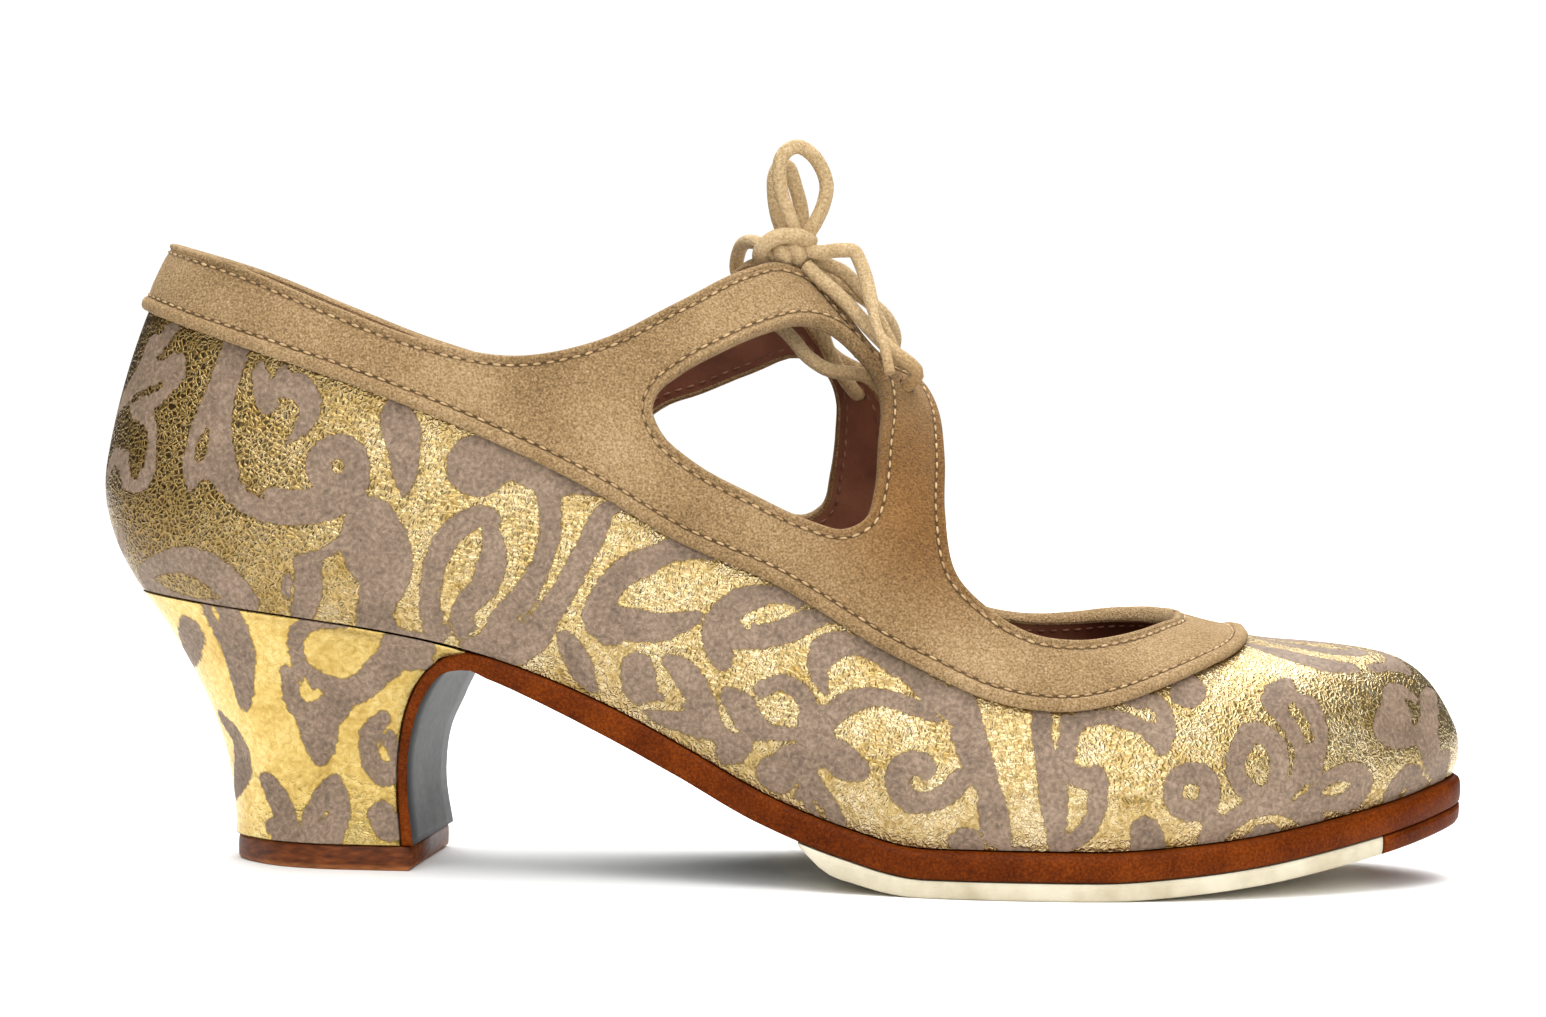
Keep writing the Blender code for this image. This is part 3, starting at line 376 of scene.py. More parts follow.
# The damask as tapered strokes, each a run of (across, down, half breadth) in chart units
UPPER_LEAVES = (
    ((176, 326, 5), (160, 338, 10), (146, 355, 11), (134, 378, 9), (124, 398, 8)),
    ((178, 362, 9), (165, 370, 10), (150, 378, 8), (137, 388, 5)),
    ((182, 376, 4), (168, 387, 7), (152, 401, 8), (135, 408, 8), (118, 412, 6)),
    ((122, 414, 6), (140, 413, 8), (150, 424, 6), (152, 445, 4), (150, 465, 6), (143, 482, 7),
     (133, 488, 5), (127, 475, 4), (126, 455, 3), (126, 440, 3)),
    ((112, 430, 5), (110, 450, 4), (108, 470, 3)),
    ((236, 348, 14), (226, 378, 14), (217, 405, 16), (211, 430, 20), (210, 455, 25)),
    ((196, 465, 15), (191, 482, 6), (190, 489, 3)),
    ((223, 470, 15), (233, 487, 14), (255, 500, 17), (285, 507, 18), (315, 506, 17), (342, 496, 16),
     (360, 480, 10)),
    ((358, 466, 12), (352, 480, 12), (338, 486, 12), (324, 480, 12), (318, 466, 12), (324, 452, 12),
     (338, 446, 12), (352, 452, 12), (358, 466, 12)),
    ((257, 370, 5), (262, 388, 9), (267, 403, 11)),
    ((266, 392, 10), (283, 386, 12), (299, 388, 14), (310, 402, 11), (307, 420, 9), (296, 434, 5),
     (286, 443, 1)),
    ((284, 367, 4), (284, 380, 8)),
    ((260, 362, 3), (262, 375, 6)),
    ((398, 404, 9), (397, 418, 17), (402, 432, 19), (404, 450, 15), (405, 468, 13), (405, 484, 8),
     (404, 495, 3)),
    ((370, 520, 24), (376, 548, 34), (384, 572, 27), (378, 598, 19), (375, 622, 18), (385, 642, 20),
     (420, 650, 16)),
    ((345, 540, 6), (325, 553, 5), (300, 562, 7)),
    ((308, 568, 13), (308, 590, 14), (303, 612, 12)),
    ((287, 578, 5), (286, 595, 4)),
    ((146, 572, 9), (165, 562, 11), (185, 560, 13), (208, 568, 15), (228, 584, 15), (246, 604, 13)),
    ((148, 584, 6), (170, 595, 4), (195, 603, 5), (225, 607, 7)),
    ((497, 520, 5), (485, 515, 9), (465, 522, 11), (446, 540, 12), (436, 562, 11), (431, 585, 10),
     (430, 608, 10), (437, 630, 13)),
    ((490, 530, 8), (494, 550, 12), (490, 570, 14), (484, 588, 13), (470, 600, 12), (462, 615, 11),
     (466, 632, 10), (480, 640, 10)),
    ((478, 466, 31),),
    ((500, 458, 20), (525, 466, 18), (550, 480, 16), (575, 484, 10), (600, 490, 6)),
    ((548, 485, 12), (550, 510, 11), (550, 535, 10), (543, 560, 10), (531, 585, 11), (518, 605, 14),
     (505, 625, 18), (490, 645, 20)),
    ((640, 515, 4), (622, 504, 6), (604, 512, 9), (596, 530, 12), (585, 552, 11), (573, 575, 11),
     (560, 597, 12), (548, 615, 13), (535, 635, 16), (515, 648, 18)),
    ((470, 640, 12), (490, 648, 14), (515, 655, 10)),
    ((712, 556, 5), (695, 550, 9), (675, 550, 12), (655, 558, 12), (635, 566, 14), (615, 580, 13),
     (604, 598, 14), (600, 618, 17), (612, 632, 14)),
    ((612, 622, 16), (635, 625, 16), (660, 627, 14), (685, 621, 9), (699, 616, 4)),
    ((566, 640, 9), (575, 655, 12), (583, 672, 11), (592, 688, 6)),
    ((637, 668, 16), (640, 685, 17), (645, 698, 10)),
    ((648, 700, 13), (665, 714, 12), (690, 720, 14), (715, 735, 12), (735, 750, 14)),
    ((668, 660, 6), (684, 672, 13), (697, 692, 13), (706, 712, 12), (712, 730, 12)),
    ((800, 600, 8), (775, 596, 10), (752, 598, 12), (733, 606, 14), (720, 624, 15), (717, 643, 14),
     (723, 660, 10), (722, 668, 5)),
    ((735, 638, 12), (760, 636, 12), (785, 632, 12), (805, 622, 12), (825, 616, 8), (838, 620, 4)),
    ((895, 668, 8), (880, 655, 9), (860, 646, 9), (840, 644, 13), (824, 652, 14), (818, 668, 10),
     (822, 682, 6), (827, 693, 2)),
    ((728, 695, 8), (742, 708, 14), (752, 724, 13), (768, 734, 10), (790, 735, 10), (805, 728, 10)),
    ((762, 690, 8), (780, 682, 8), (798, 690, 9), (808, 705, 9), (814, 722, 10)),
    ((772, 772, 16), (782, 780, 14), (792, 762, 18)),
    ((740, 745, 13), (728, 755, 10)),
    ((805, 765, 14), (800, 790, 10)),
    ((892, 662, 8), (912, 676, 10), (932, 692, 12), (950, 706, 12), (966, 722, 14), (972, 745, 16),
     (978, 765, 16), (987, 785, 12), (996, 808, 11), (1002, 835, 9), (1004, 848, 7)),
    ((958, 690, 8), (966, 705, 11), (968, 722, 13)),
    ((985, 805, 8), (988, 825, 8), (992, 840, 6)),
    ((956, 735, 6),),
    ((822, 735, 8), (832, 716, 11), (850, 702, 11), (872, 697, 9), (893, 700, 8), (912, 707, 8),
     (928, 714, 6), (938, 722, 3)),
    ((815, 720, 16), (812, 745, 18), (830, 752, 16), (848, 765, 16), (858, 770, 12)),
    ((805, 780, 14), (818, 800, 13), (830, 815, 12), (838, 825, 8)),
    ((962, 778, 10), (950, 792, 11), (932, 801, 10), (912, 800, 12), (899, 787, 12), (900, 771, 13),
     (912, 763, 12), (925, 766, 10), (929, 776, 8)),
    ((957, 842, 9), (966, 838, 11), (978, 845, 7)),
    ((1005, 850, 5), (1028, 851, 3)),
    ((1042, 712, 10), (1042, 738, 10), (1047, 760, 11), (1052, 782, 14), (1054, 805, 13), (1056, 830, 10),
     (1056, 852, 6)),
    ((1068, 722, 8), (1068, 740, 9), (1065, 760, 10)),
    ((1068, 738, 9), (1076, 724, 9), (1090, 718, 8), (1108, 717, 7), (1125, 721, 8), (1142, 726, 8),
     (1158, 738, 10), (1163, 748, 6)),
    ((1130, 705, 8), (1148, 700, 7), (1160, 706, 8), (1166, 720, 8), (1165, 738, 9), (1160, 750, 5)),
    ((1066, 772, 10), (1085, 778, 10), (1098, 776, 9), (1098, 795, 9), (1096, 812, 9), (1088, 828, 9),
     (1073, 842, 8), (1060, 850, 5)),
    ((1146, 832, 15), (1148, 845, 18)),
    ((1211, 792, 10), (1206, 806, 10), (1192, 811, 11), (1178, 806, 10), (1172, 792, 9), (1178, 778, 10),
     (1192, 773, 11), (1206, 778, 10), (1211, 792, 10)),
    ((1208, 812, 9), (1212, 828, 9), (1206, 842, 9)),
    ((1215, 838, 9), (1228, 824, 9), (1245, 812, 9), (1265, 806, 10), (1285, 808, 12), (1300, 815, 12)),
    ((1250, 838, 5), (1268, 830, 7), (1280, 836, 5)),
    ((1245, 740, 10), (1237, 755, 10), (1236, 772, 9), (1245, 788, 10), (1262, 797, 10), (1275, 790, 10),
     (1280, 772, 10), (1279, 755, 10), (1272, 740, 11), (1258, 732, 10), (1246, 732, 8)),
    ((1283, 688, 12), (1275, 698, 13), (1283, 712, 11), (1294, 728, 10), (1300, 750, 10), (1303, 775, 14),
     (1298, 795, 14)),
    ((1295, 700, 8), (1310, 708, 10), (1318, 725, 8), (1321, 740, 7), (1315, 755, 10), (1310, 770, 12)),
    ((1300, 805, 14), (1318, 790, 11), (1338, 777, 10), (1358, 772, 9), (1364, 778, 8), (1358, 792, 10),
     (1345, 803, 9), (1325, 808, 10), (1308, 815, 12)),
    ((1310, 822, 10),),
    ((1392, 692, 9), (1396, 710, 16), (1392, 728, 18), (1402, 738, 10), (1415, 735, 10)),
    ((1400, 692, 8), (1412, 700, 6)),
    ((1428, 695, 8), (1430, 715, 10), (1426, 735, 12), (1432, 755, 10), (1434, 770, 8)),
    ((1445, 755, 6), (1442, 770, 5), (1435, 785, 5)),
    ((1412, 775, 11), (1400, 788, 11), (1392, 800, 9)),
    ((1415, 790, 8), (1424, 782, 4)),
    ((1186, 680, 12), (1187, 690, 17), (1200, 695, 6)),
    ((1222, 663, 4), (1245, 665, 5), (1270, 669, 5), (1283, 671, 3)),
    ((1248, 653, 5), (1258, 650, 4)),
    ((1262, 645, 3), (1280, 649, 4), (1290, 653, 3)),
    ((1295, 658, 4), (1310, 655, 6), (1330, 650, 8), (1355, 656, 8), (1375, 660, 8), (1400, 665, 7)),
    ((1318, 668, 5), (1335, 668, 6), (1355, 666, 7), (1385, 664, 7)),
    ((1300, 645, 4), (1330, 643, 3), (1360, 646, 3), (1390, 655, 6), (1408, 672, 4)),
)
UPPER_SLITS = (
    ((165, 319, 3), (158, 332, 3)),
    ((140, 325, 1), (138, 345, 1), (130, 365, 1), (122, 380, 1)),
    ((160, 386, 3), (145, 393, 3), (134, 396, 2)),
    ((138, 425, 2), (139, 445, 4), (138, 466, 2)),
    ((122, 420, 2), (127, 430, 3), (126, 448, 1)),
    ((207, 430, 3), (203, 445, 6), (198, 459, 4)),
    ((240, 480, 2), (252, 488, 5), (264, 497, 3)),
    ((468, 552, 6), (460, 572, 8), (452, 592, 6)),
    ((450, 600, 3), (447, 612, 3), (444, 625, 2)),
    ((500, 598, 4), (488, 610, 5), (482, 625, 4), (470, 636, 2), (455, 643, 2)),
    ((517, 622, 2), (526, 614, 2), (535, 606, 1)),
    ((660, 668, 3), (663, 685, 5), (668, 698, 5)),
    ((640, 709, 3), (650, 706, 5), (683, 709, 3)),
    ((747, 626, 4), (760, 612, 5), (780, 610, 7), (798, 610, 3)),
    ((770, 705, 5), (780, 716, 9), (795, 724, 4)),
    ((745, 772, 4), (752, 758, 3), (762, 745, 4), (780, 744, 3), (796, 742, 2)),
    ((702, 742, 4), (712, 745, 5)),
    ((790, 795, 4), (797, 785, 3)),
    ((815, 803, 3), (822, 812, 3), (826, 818, 2)),
    ((916, 790, 2), (926, 788, 4), (938, 776, 4), (944, 768, 3)),
    ((1120, 706, 3), (1135, 712, 4), (1150, 719, 3), (1154, 723, 1)),
    ((1248, 830, 3), (1262, 820, 4), (1280, 819, 4), (1297, 826, 3)),
    ((1262, 722, 1.5), (1280, 732, 2), (1291, 748, 2), (1292, 765, 2), (1286, 780, 2)),
    ((1292, 708, 5), (1300, 718, 5), (1307, 732, 5), (1308, 743, 3)),
    ((1325, 792, 3), (1338, 787, 5), (1346, 784, 3)),
    ((1292, 799, 2), (1300, 793, 3), (1312, 783, 2)),
    ((1325, 815, 3), (1338, 813, 3)),
    ((1442, 715, 4), (1447, 730, 6), (1450, 742, 4)),
    ((1406, 700, 2), (1413, 708, 3), (1418, 717, 2)),
    ((1405, 790, 2), (1400, 797, 2)),
    ((1325, 652, 1.5), (1345, 656, 1.5), (1362, 655, 1.5)),
)


def damask_finish(name, golds, crack_mm, crack_share, crumpled, painted_back_shade_share, relief_depth):
    """Crackled gold foil with matt taupe motifs: the motif depth plus a fine wobble picks between them."""
    material, shader, here = new_material(name)
    depth = add(material, "Attribute", {"attribute_name": "motif"}, "Fac")
    # the print's edge is frayed by up to 0.35 mm, over about a millimetre
    fray = add(material, "TexNoise", {"Scale": 1 / 0.0011, "Detail": 3.0, "Vector": here})
    fray = add(material, "MapRange", {
        "From Min": 0.25, "From Max": 0.75, "To Min": -0.35, "To Max": 0.35, "Value": fray,
    })
    depth = add(material, "Math", {"operation": "ADD", 0: depth, 1: fray})
    taupe = add(material, "MapRange", {"From Min": -0.07, "From Max": 0.1, "Value": depth})
    line = add(material, "MapRange", {"From Min": -0.35, "From Max": -0.05, "To Max": 0.7, "Value": depth})
    # crinkled foil: raised ridges round hollows a millimetre or two wide, bent by a slow noise to wander
    slow = add(material, "TexNoise", {"Scale": 1 / 0.0022, "Detail": 1.0, "Vector": here}, "Color")
    bend = {"operation": "MULTIPLY_ADD", 0: slow, 1: (0.0016, 0.0016, 0.0016), 2: here}
    bent = add(material, "VectorMath", bend)
    cells = {"feature": "DISTANCE_TO_EDGE", "Vector": bent}
    hollow = add(material, "TexVoronoi", {**cells, "Scale": 1000.0 / crack_mm}, "Distance")
    ridge = add(material, "MapRange", {
        "interpolation_type": "SMOOTHSTEP", "From Min": 0.02, "From Max": 0.26, "To Min": 1.0, "To Max": 0.0,
        "Value": hollow,
    })
    patch = add(material, "TexNoise", {"Scale": 1 / 0.009, "Detail": 4.0, "Roughness": 0.6, "Vector": here})
    along = add(material, "SeparateXYZ", {0: here}, "X")
    # the foil is crumpled at the back of the heel and lies smoother towards the toe
    crumple = add(material, "MapRange", {
        "From Min": -0.11, "From Max": 0.0, "To Min": crumpled[0], "To Max": crumpled[1], "Value": along,
    })
    raised = add(material, "Math", {"operation": "MULTIPLY", 0: ridge, 1: crumple})
    # fine dark cracks where the smoother foil has broken
    plates = add(material, "TexVoronoi", {**cells, "Scale": 1400.0 / crack_mm}, "Distance")
    crack = add(material, "MapRange", {
        "From Min": 0.01, "From Max": 0.1, "To Min": crack_share, "To Max": 0.0, "Value": plates,
    })
    worn = add(material, "MapRange", {"From Min": 0.4, "From Max": 0.62, "To Min": 0.3, "Value": patch})
    crack = add(material, "Math", {"operation": "MULTIPLY", 0: crack, 1: worn})
    speck = add(material, "TexNoise", {"Scale": 1 / 0.0012, "Detail": 3.0, "Vector": bent})
    tone = add(material, "Mix", {"data_type": "FLOAT", 0: 0.5, 2: speck, 3: patch})
    gold = add(material, "ValToRGB", {"stops": tuple(zip((0.36, 0.5, 0.64), golds)), 0: tone})
    # the foil is darkened to amber over the last centimetres at the back, painted shade standing in for a
    # dark reflection; its raised ridges carry a painted highlight
    painted_back_shade = add(material, "MapRange", {
        "From Min": -0.118, "From Max": -0.062, "To Min": painted_back_shade_share, "To Max": 0.0, "Value": along,
    })
    gold = add(material, "Mix", {"data_type": "RGBA", 0: painted_back_shade, 6: gold, 7: "#4A2F08"}, 2)
    # painted highlight: the raised ridges are mixed towards pale gold, most where the foil is crumpled
    painted_ridge_highlight = add(material, "Math", {"operation": "MULTIPLY", 0: raised, 1: 0.3})
    gold = add(material, "Mix", {"data_type": "RGBA", 0: painted_ridge_highlight, 6: gold, 7: "#E6C577"}, 2)
    gold = add(material, "Mix", {"data_type": "RGBA", 0: crack, 6: gold, 7: "#5E4316"}, 2)
    # matt print: skin pores and creases about 0.8 mm across
    pores = add(material, "TexNoise", {"Scale": 1 / 0.0008, "Detail": 5.0, "Roughness": 0.65, "Vector": bent})
    printed = add(material, "Mix", {"data_type": "FLOAT", 0: 0.3, 2: pores, 3: patch})
    taupes = ((0.35, "#5B493A"), (0.5, "#7E6955"), (0.65, "#9D8672"))
    printed = add(material, "ValToRGB", {"stops": taupes, 0: printed})
    edged = add(material, "Mix", {"data_type": "RGBA", 0: line, 6: gold, 7: "#5E4416"}, 2)
    colour = add(material, "Mix", {"data_type": "RGBA", 0: taupe, 6: edged, 7: printed}, 2)
    metal = add(material, "MapRange", {"To Min": 0.9, "To Max": 0.0, "Value": taupe})
    rough = add(material, "MapRange", {
        "From Min": 0.3, "From Max": 0.7, "To Min": 0.32, "To Max": 0.22, "Value": tone,
    })
    rough = add(material, "Mix", {"data_type": "FLOAT", 0: taupe, 2: rough, 3: 0.62})
    relief = add(material, "Math", {"operation": "MULTIPLY_ADD", 0: speck, 1: 0.5, 2: raised})
    relief = add(material, "Math", {"operation": "MULTIPLY_ADD", 0: crack, 1: -0.3, 2: relief})
    relief = add(material, "Mix", {"data_type": "FLOAT", 0: taupe, 2: relief, 3: pores})
    bump = add(material, "Bump", {"Strength": relief_depth, "Distance": 0.0005, "Height": relief})
    fill(material, shader, {"Base Color": colour, "Metallic": metal, "Roughness": rough, "Normal": bump})
    return material


FOIL = damask_finish(
    "gold_foil_leather_with_taupe_damask", ("#9C8048", "#BDA678", "#D3C29E"), 0.95, 0.5, (1.0, 0.4), 1.0, 0.55
)
SUEDE_EDGE = np.array((
    (-140.0, 109.6), (-117.1, 101.6), (-108.4, 98.6), (-93.5, 93.9), (-74.0, 87.7), (-52.4, 79.5),
    (-32.9, 70.5), (-17.0, 61.5), (2.0, 53.5), (10.7, 48.5), (18.8, 43.7), (28.9, 38.9), (38.0, 35.0),
    (46.0, 33.3), (53.0, 33.0), (60.0, 34.0), (70.4, 37.2), (78.6, 40.2), (83.6, 42.2), (86.6, 44.0),
    (89.0, 46.6), (94.0, 52.0),
))
BELOW_BAND = np.vstack((smooth_run(SUEDE_EDGE, 5), ((160.0, 52.0), (160.0, -20.0), (-140.0, -20.0))))


def both_halves(trim, lift, flip=False, measure=None):
    """A wall on both sides of the shoe: each half's grid is trimmed by its own edges, then lifted."""
    points, faces, measures, start = [], [], [], 0
    for side in (LATERAL, MEDIAL):
        values, triangles = half_grid()
        for edge in trim:
            at = last_point(values[:, 0], values[:, 1], side)
            values, triangles = trimmed(values, triangles, edge(at, side))
        made = wall(values[:, 0], values[:, 1], side, lift(values, side))
        kept_way = (side < 0.0) != flip
        faces.append((triangles if kept_way else triangles[:, ::-1]) + start)
        start += len(made)
        points.append(made)
        measures.append(measure(values, side) if measure else np.zeros(len(made)))
    return np.vstack(points), np.vstack(faces), np.concatenate(measures)


# The toe's top as (forward, across, half breadth) and the back as (across, up, half breadth), in millimetres
TOE_LEAVES = (
    ((88, 0, 1), (95, 0, 3.4), (102, 0, 2.6), (108, 0, 0.8)),
    ((90, 5, 1), (96, 9, 2), (102, 11, 2.2), (107, 9, 1.8), (108, 6, 1.4), (105, 5, 1.2)),
    ((86, 14, 1), (92, 17, 2.4), (99, 19, 2.4), (105, 17, 1.2)),
    ((112, 2, 1.2), (115, 6, 2), (114, 11, 1.8), (110, 14, 1)),
    ((117, 1, 1), (121, 3, 1.8), (124, 2, 1)),
)
BACK_LEAVES = (
    ((0, 54, 1), (0, 60, 2.6), (0, 66, 1.4), (0, 76, 3.4), (0, 86, 1.2)),
    ((3, 56, 1.2), (8, 58, 2), (12, 63, 2.4), (13, 70, 2.2), (9, 74, 1.8), (6, 71, 1.2)),
    ((4, 82, 1), (8, 86, 2.2), (13, 90, 2), (15, 95, 1)),
    ((0, 92, 1), (0, 97, 2.4), (0, 102, 1.2)),
)


def both_ways(strokes, across):
    """Strokes with their mirror images, the across column turned about."""
    turned = np.where(np.arange(3) == across, -1.0, 1.0)
    return [*strokes, *[tuple(map(tuple, np.array(stroke) * turned)) for stroke in strokes]]


def turning_into(side_depth, end_depth, facing):
    """One motif passing into another where the leather turns away, between facings of 0.72 and 0.9."""
    t = np.clip((facing - 0.72) / 0.18, 0.0, 1.0)
    t = t * t * (3.0 - 2.0 * t)
    return np.clip(side_depth, -2.0, 2.0) * (1.0 - t) + np.clip(end_depth, -2.0, 2.0) * t


def foil_points(values, side):
    """Motif depth of the upper: side chart, toe chart where it faces up, back chart where it faces back."""
    depth = damask_depth(last_point(values[:, 0], values[:, 1], LATERAL), UPPER_LEAVES, UPPER_SLITS)
    at, _, _, normal = wall_frame(values[:, 0], values[:, 1], side)
    top = stroke_depth(at[:, :2], both_ways(TOE_LEAVES, 1))
    back = stroke_depth(at[:, 1:], both_ways(BACK_LEAVES, 0))
    depth = turning_into(depth, top, normal[:, 2] * (at[:, 0] > 60.0))
    return turning_into(depth, back, -normal[:, 0])


UNDER_BAND = 3.0
points, faces, motif = both_halves(
    [lambda p, side: outline_distance(p[:, [0, 2]], BELOW_BAND) + UNDER_BAND],
    lambda values, side: np.zeros(len(values)),
    measure=foil_points,
)
make_piece("foil_upper", points, faces, [FOIL], {"motif": motif}, replaces=("upper",))


# The lining: reddish-brown calf glued to the inside of the upper and turned with it at every edge.
# It is seen through the collar, the throat and the cut-outs.
TOPLINE = {
    LATERAL: np.array((
        (-140.0, 121.0), (-125.0, 116.8), (-111.2, 112.6), (-97.0, 108.3), (-80.0, 101.7), (-64.0, 96.0),
        (-46.0, 93.1), (-31.5, 96.2), (-17.4, 103.4), (-5.8, 109.3), (-1.0, 110.5), (3.5, 109.3),
        (11.8, 101.5), (19.0, 93.6), (25.0, 90.3), (28.4, 85.5), (30.1, 76.0), (30.3, 66.0), (32.6, 55.4),
        (38.0, 49.8), (46.0, 45.3), (54.0, 44.1), (62.0, 44.7), (70.0, 46.2), (74.5, 47.1), (76.6, 49.0),
        (77.2, 54.0),
    )),
    MEDIAL: np.array((
        (-140.0, 121.0), (-125.0, 116.8), (-111.2, 112.6), (-97.0, 108.3), (-80.0, 101.5), (-64.0, 95.6),
        (-50.0, 92.3), (-37.0, 94.1), (-24.5, 99.2), (-14.0, 104.6), (-9.0, 107.8), (-6.8, 110.6),
        (-4.2, 111.8), (-1.0, 109.8), (4.3, 103.0), (11.5, 94.6), (17.5, 91.0), (21.0, 85.5), (22.6, 76.0),
        (23.4, 66.0), (26.5, 55.4), (32.5, 49.6), (40.0, 46.7), (49.0, 45.2), (57.0, 45.6), (64.0, 46.6),
        (70.0, 47.1), (74.5, 47.3), (76.6, 49.0), (77.2, 54.0),
    )),
}
CUTOUT = {
    LATERAL: np.array((
        (-22.2, 84.6), (-20.5, 80.0), (-15.0, 75.1), (-3.6, 69.1), (7.0, 64.5), (12.5, 63.2), (16.7, 65.2),
        (18.4, 70.5), (19.2, 79.3), (19.8, 86.1), (18.9, 90.8), (15.4, 95.3), (9.5, 99.8), (5.0, 100.6),
        (-1.0, 99.2), (-10.0, 95.2), (-17.7, 90.6), (-21.2, 87.5),
    )),
    MEDIAL: np.array((
        (-25.0, 80.8), (-23.0, 77.3), (-17.0, 73.4), (-8.0, 68.8), (1.0, 64.7), (6.0, 63.8), (9.5, 66.0),
        (11.0, 72.0), (11.9, 80.8), (11.8, 87.2), (9.6, 92.0), (5.2, 94.5), (-4.2, 91.4), (-13.8, 87.3),
        (-21.5, 84.2),
    )),
}
HOLES = ((LATERAL, 23.2, 88.4), (MEDIAL, 16.0, 88.2), (MEDIAL, -6.6, 104.4))
HOLE_RADIUS, WALL_REACH, FAR_OFF = 1.55, 6.0, 50.0
LINING_LIFT = -1.6
ABOVE_COLLAR = {
    side: np.vstack((smooth_run(rows, 6), ((77.2, 200.0), (-140.0, 200.0)))) for side, rows in TOPLINE.items()
}
CUTOUT_RUN = {side: smooth_run(rows, 4, closed=True) for side, rows in CUTOUT.items()}


def wall_at(x, z, side):
    """Turn, rise and miss of the last's point seen at (x, z) from one side, by Newton's steps."""
    turn, rise = turn_of(np.asarray(x)), np.full(np.shape(x), 0.8)
    for _ in range(45):
        here, by_turn, by_rise, _ = wall_frame(turn, rise, side)
        off_x, off_z = x - here[:, 0], z - here[:, 2]
        size = by_turn[:, 0] * by_rise[:, 2] - by_rise[:, 0] * by_turn[:, 2]
        size = np.where(np.abs(size) < 1e-6, 1e-6, size)
        move_turn = (off_x * by_rise[:, 2] - by_rise[:, 0] * off_z) / size
        move_rise = (by_turn[:, 0] * off_z - off_x * by_turn[:, 2]) / size
        turn = np.clip(turn + np.clip(move_turn, -0.1, 0.1), 0.0, np.pi)
        rise = np.clip(rise + np.clip(move_rise, -0.1, 0.1), 0.0, np.pi / 2.0)
    here = last_point(turn, rise, side)
    return turn, rise, np.hypot(x - here[:, 0], z - here[:, 2])


def clear_of_collar(p, side):
    """Distance below the topline, seen from the side."""
    return -outline_distance(p[:, [0, 2]], ABOVE_COLLAR[side])


def clear_of_cutout(p, side):
    """Distance outside the side's cut-out, seen from the side."""
    return -outline_distance(p[:, [0, 2]], CUTOUT_RUN[side])


def clear_of_holes(p, side):
    """Distance outside the punched lace holes, each 3.1 mm across, square to the wall."""
    free = np.full(len(p), FAR_OFF)
    for hole_side, x, z in HOLES:
        if hole_side == side:
            turn, rise, _ = wall_at(np.array([x]), np.array([z]), side)
            centre, _, _, axis = wall_frame(turn, rise, side)
            away = p - centre[0]
            along = away @ axis[0]
            across = np.linalg.norm(away - along[:, None] * axis[0], axis=1)
            free = np.minimum(free, np.where(np.abs(along) < WALL_REACH, across - HOLE_RADIUS, FAR_OFF))
    return free


LINING, calf, here = new_material("brown_calf_lining")
# glazed calf: even brown with a faint cloud of darker wear and pores of about 0.8 mm
cloud = add(LINING, "TexNoise", {"Scale": 1 / 0.014, "Detail": 4.0, "Vector": here})
browns = ((0.3, "#5C3120"), (0.52, "#7B4A34"), (0.75, "#8E5C43"))
tone = add(LINING, "ValToRGB", {"stops": browns, 0: cloud})
pores = add(LINING, "TexNoise", {"Scale": 1 / 0.0008, "Detail": 3.0, "Vector": here})
bump = add(LINING, "Bump", {"Strength": 0.25, "Distance": 0.0004, "Height": pores})
fill(LINING, calf, {"Roughness": 0.55, "Specular IOR Level": 0.4, "Base Color": tone, "Normal": bump})
points, faces, _ = both_halves(
    [clear_of_collar, clear_of_cutout, clear_of_holes],
    lambda values, side: np.full(len(values), LINING_LIFT),
    flip=True,
)
make_piece("lining", points, faces, [LINING])


# The suede band: tan split leather stitched over the upper from the collar down, with the straps
# of the instep cut in one with it. Its edges are folded and sewn.
BAND_OUT, STITCH_IN, LOWER_STITCH_IN = 1.3, 1.6, 2.3
GROOVE_DEEP, GROOVE_WIDE = 0.25, 0.55


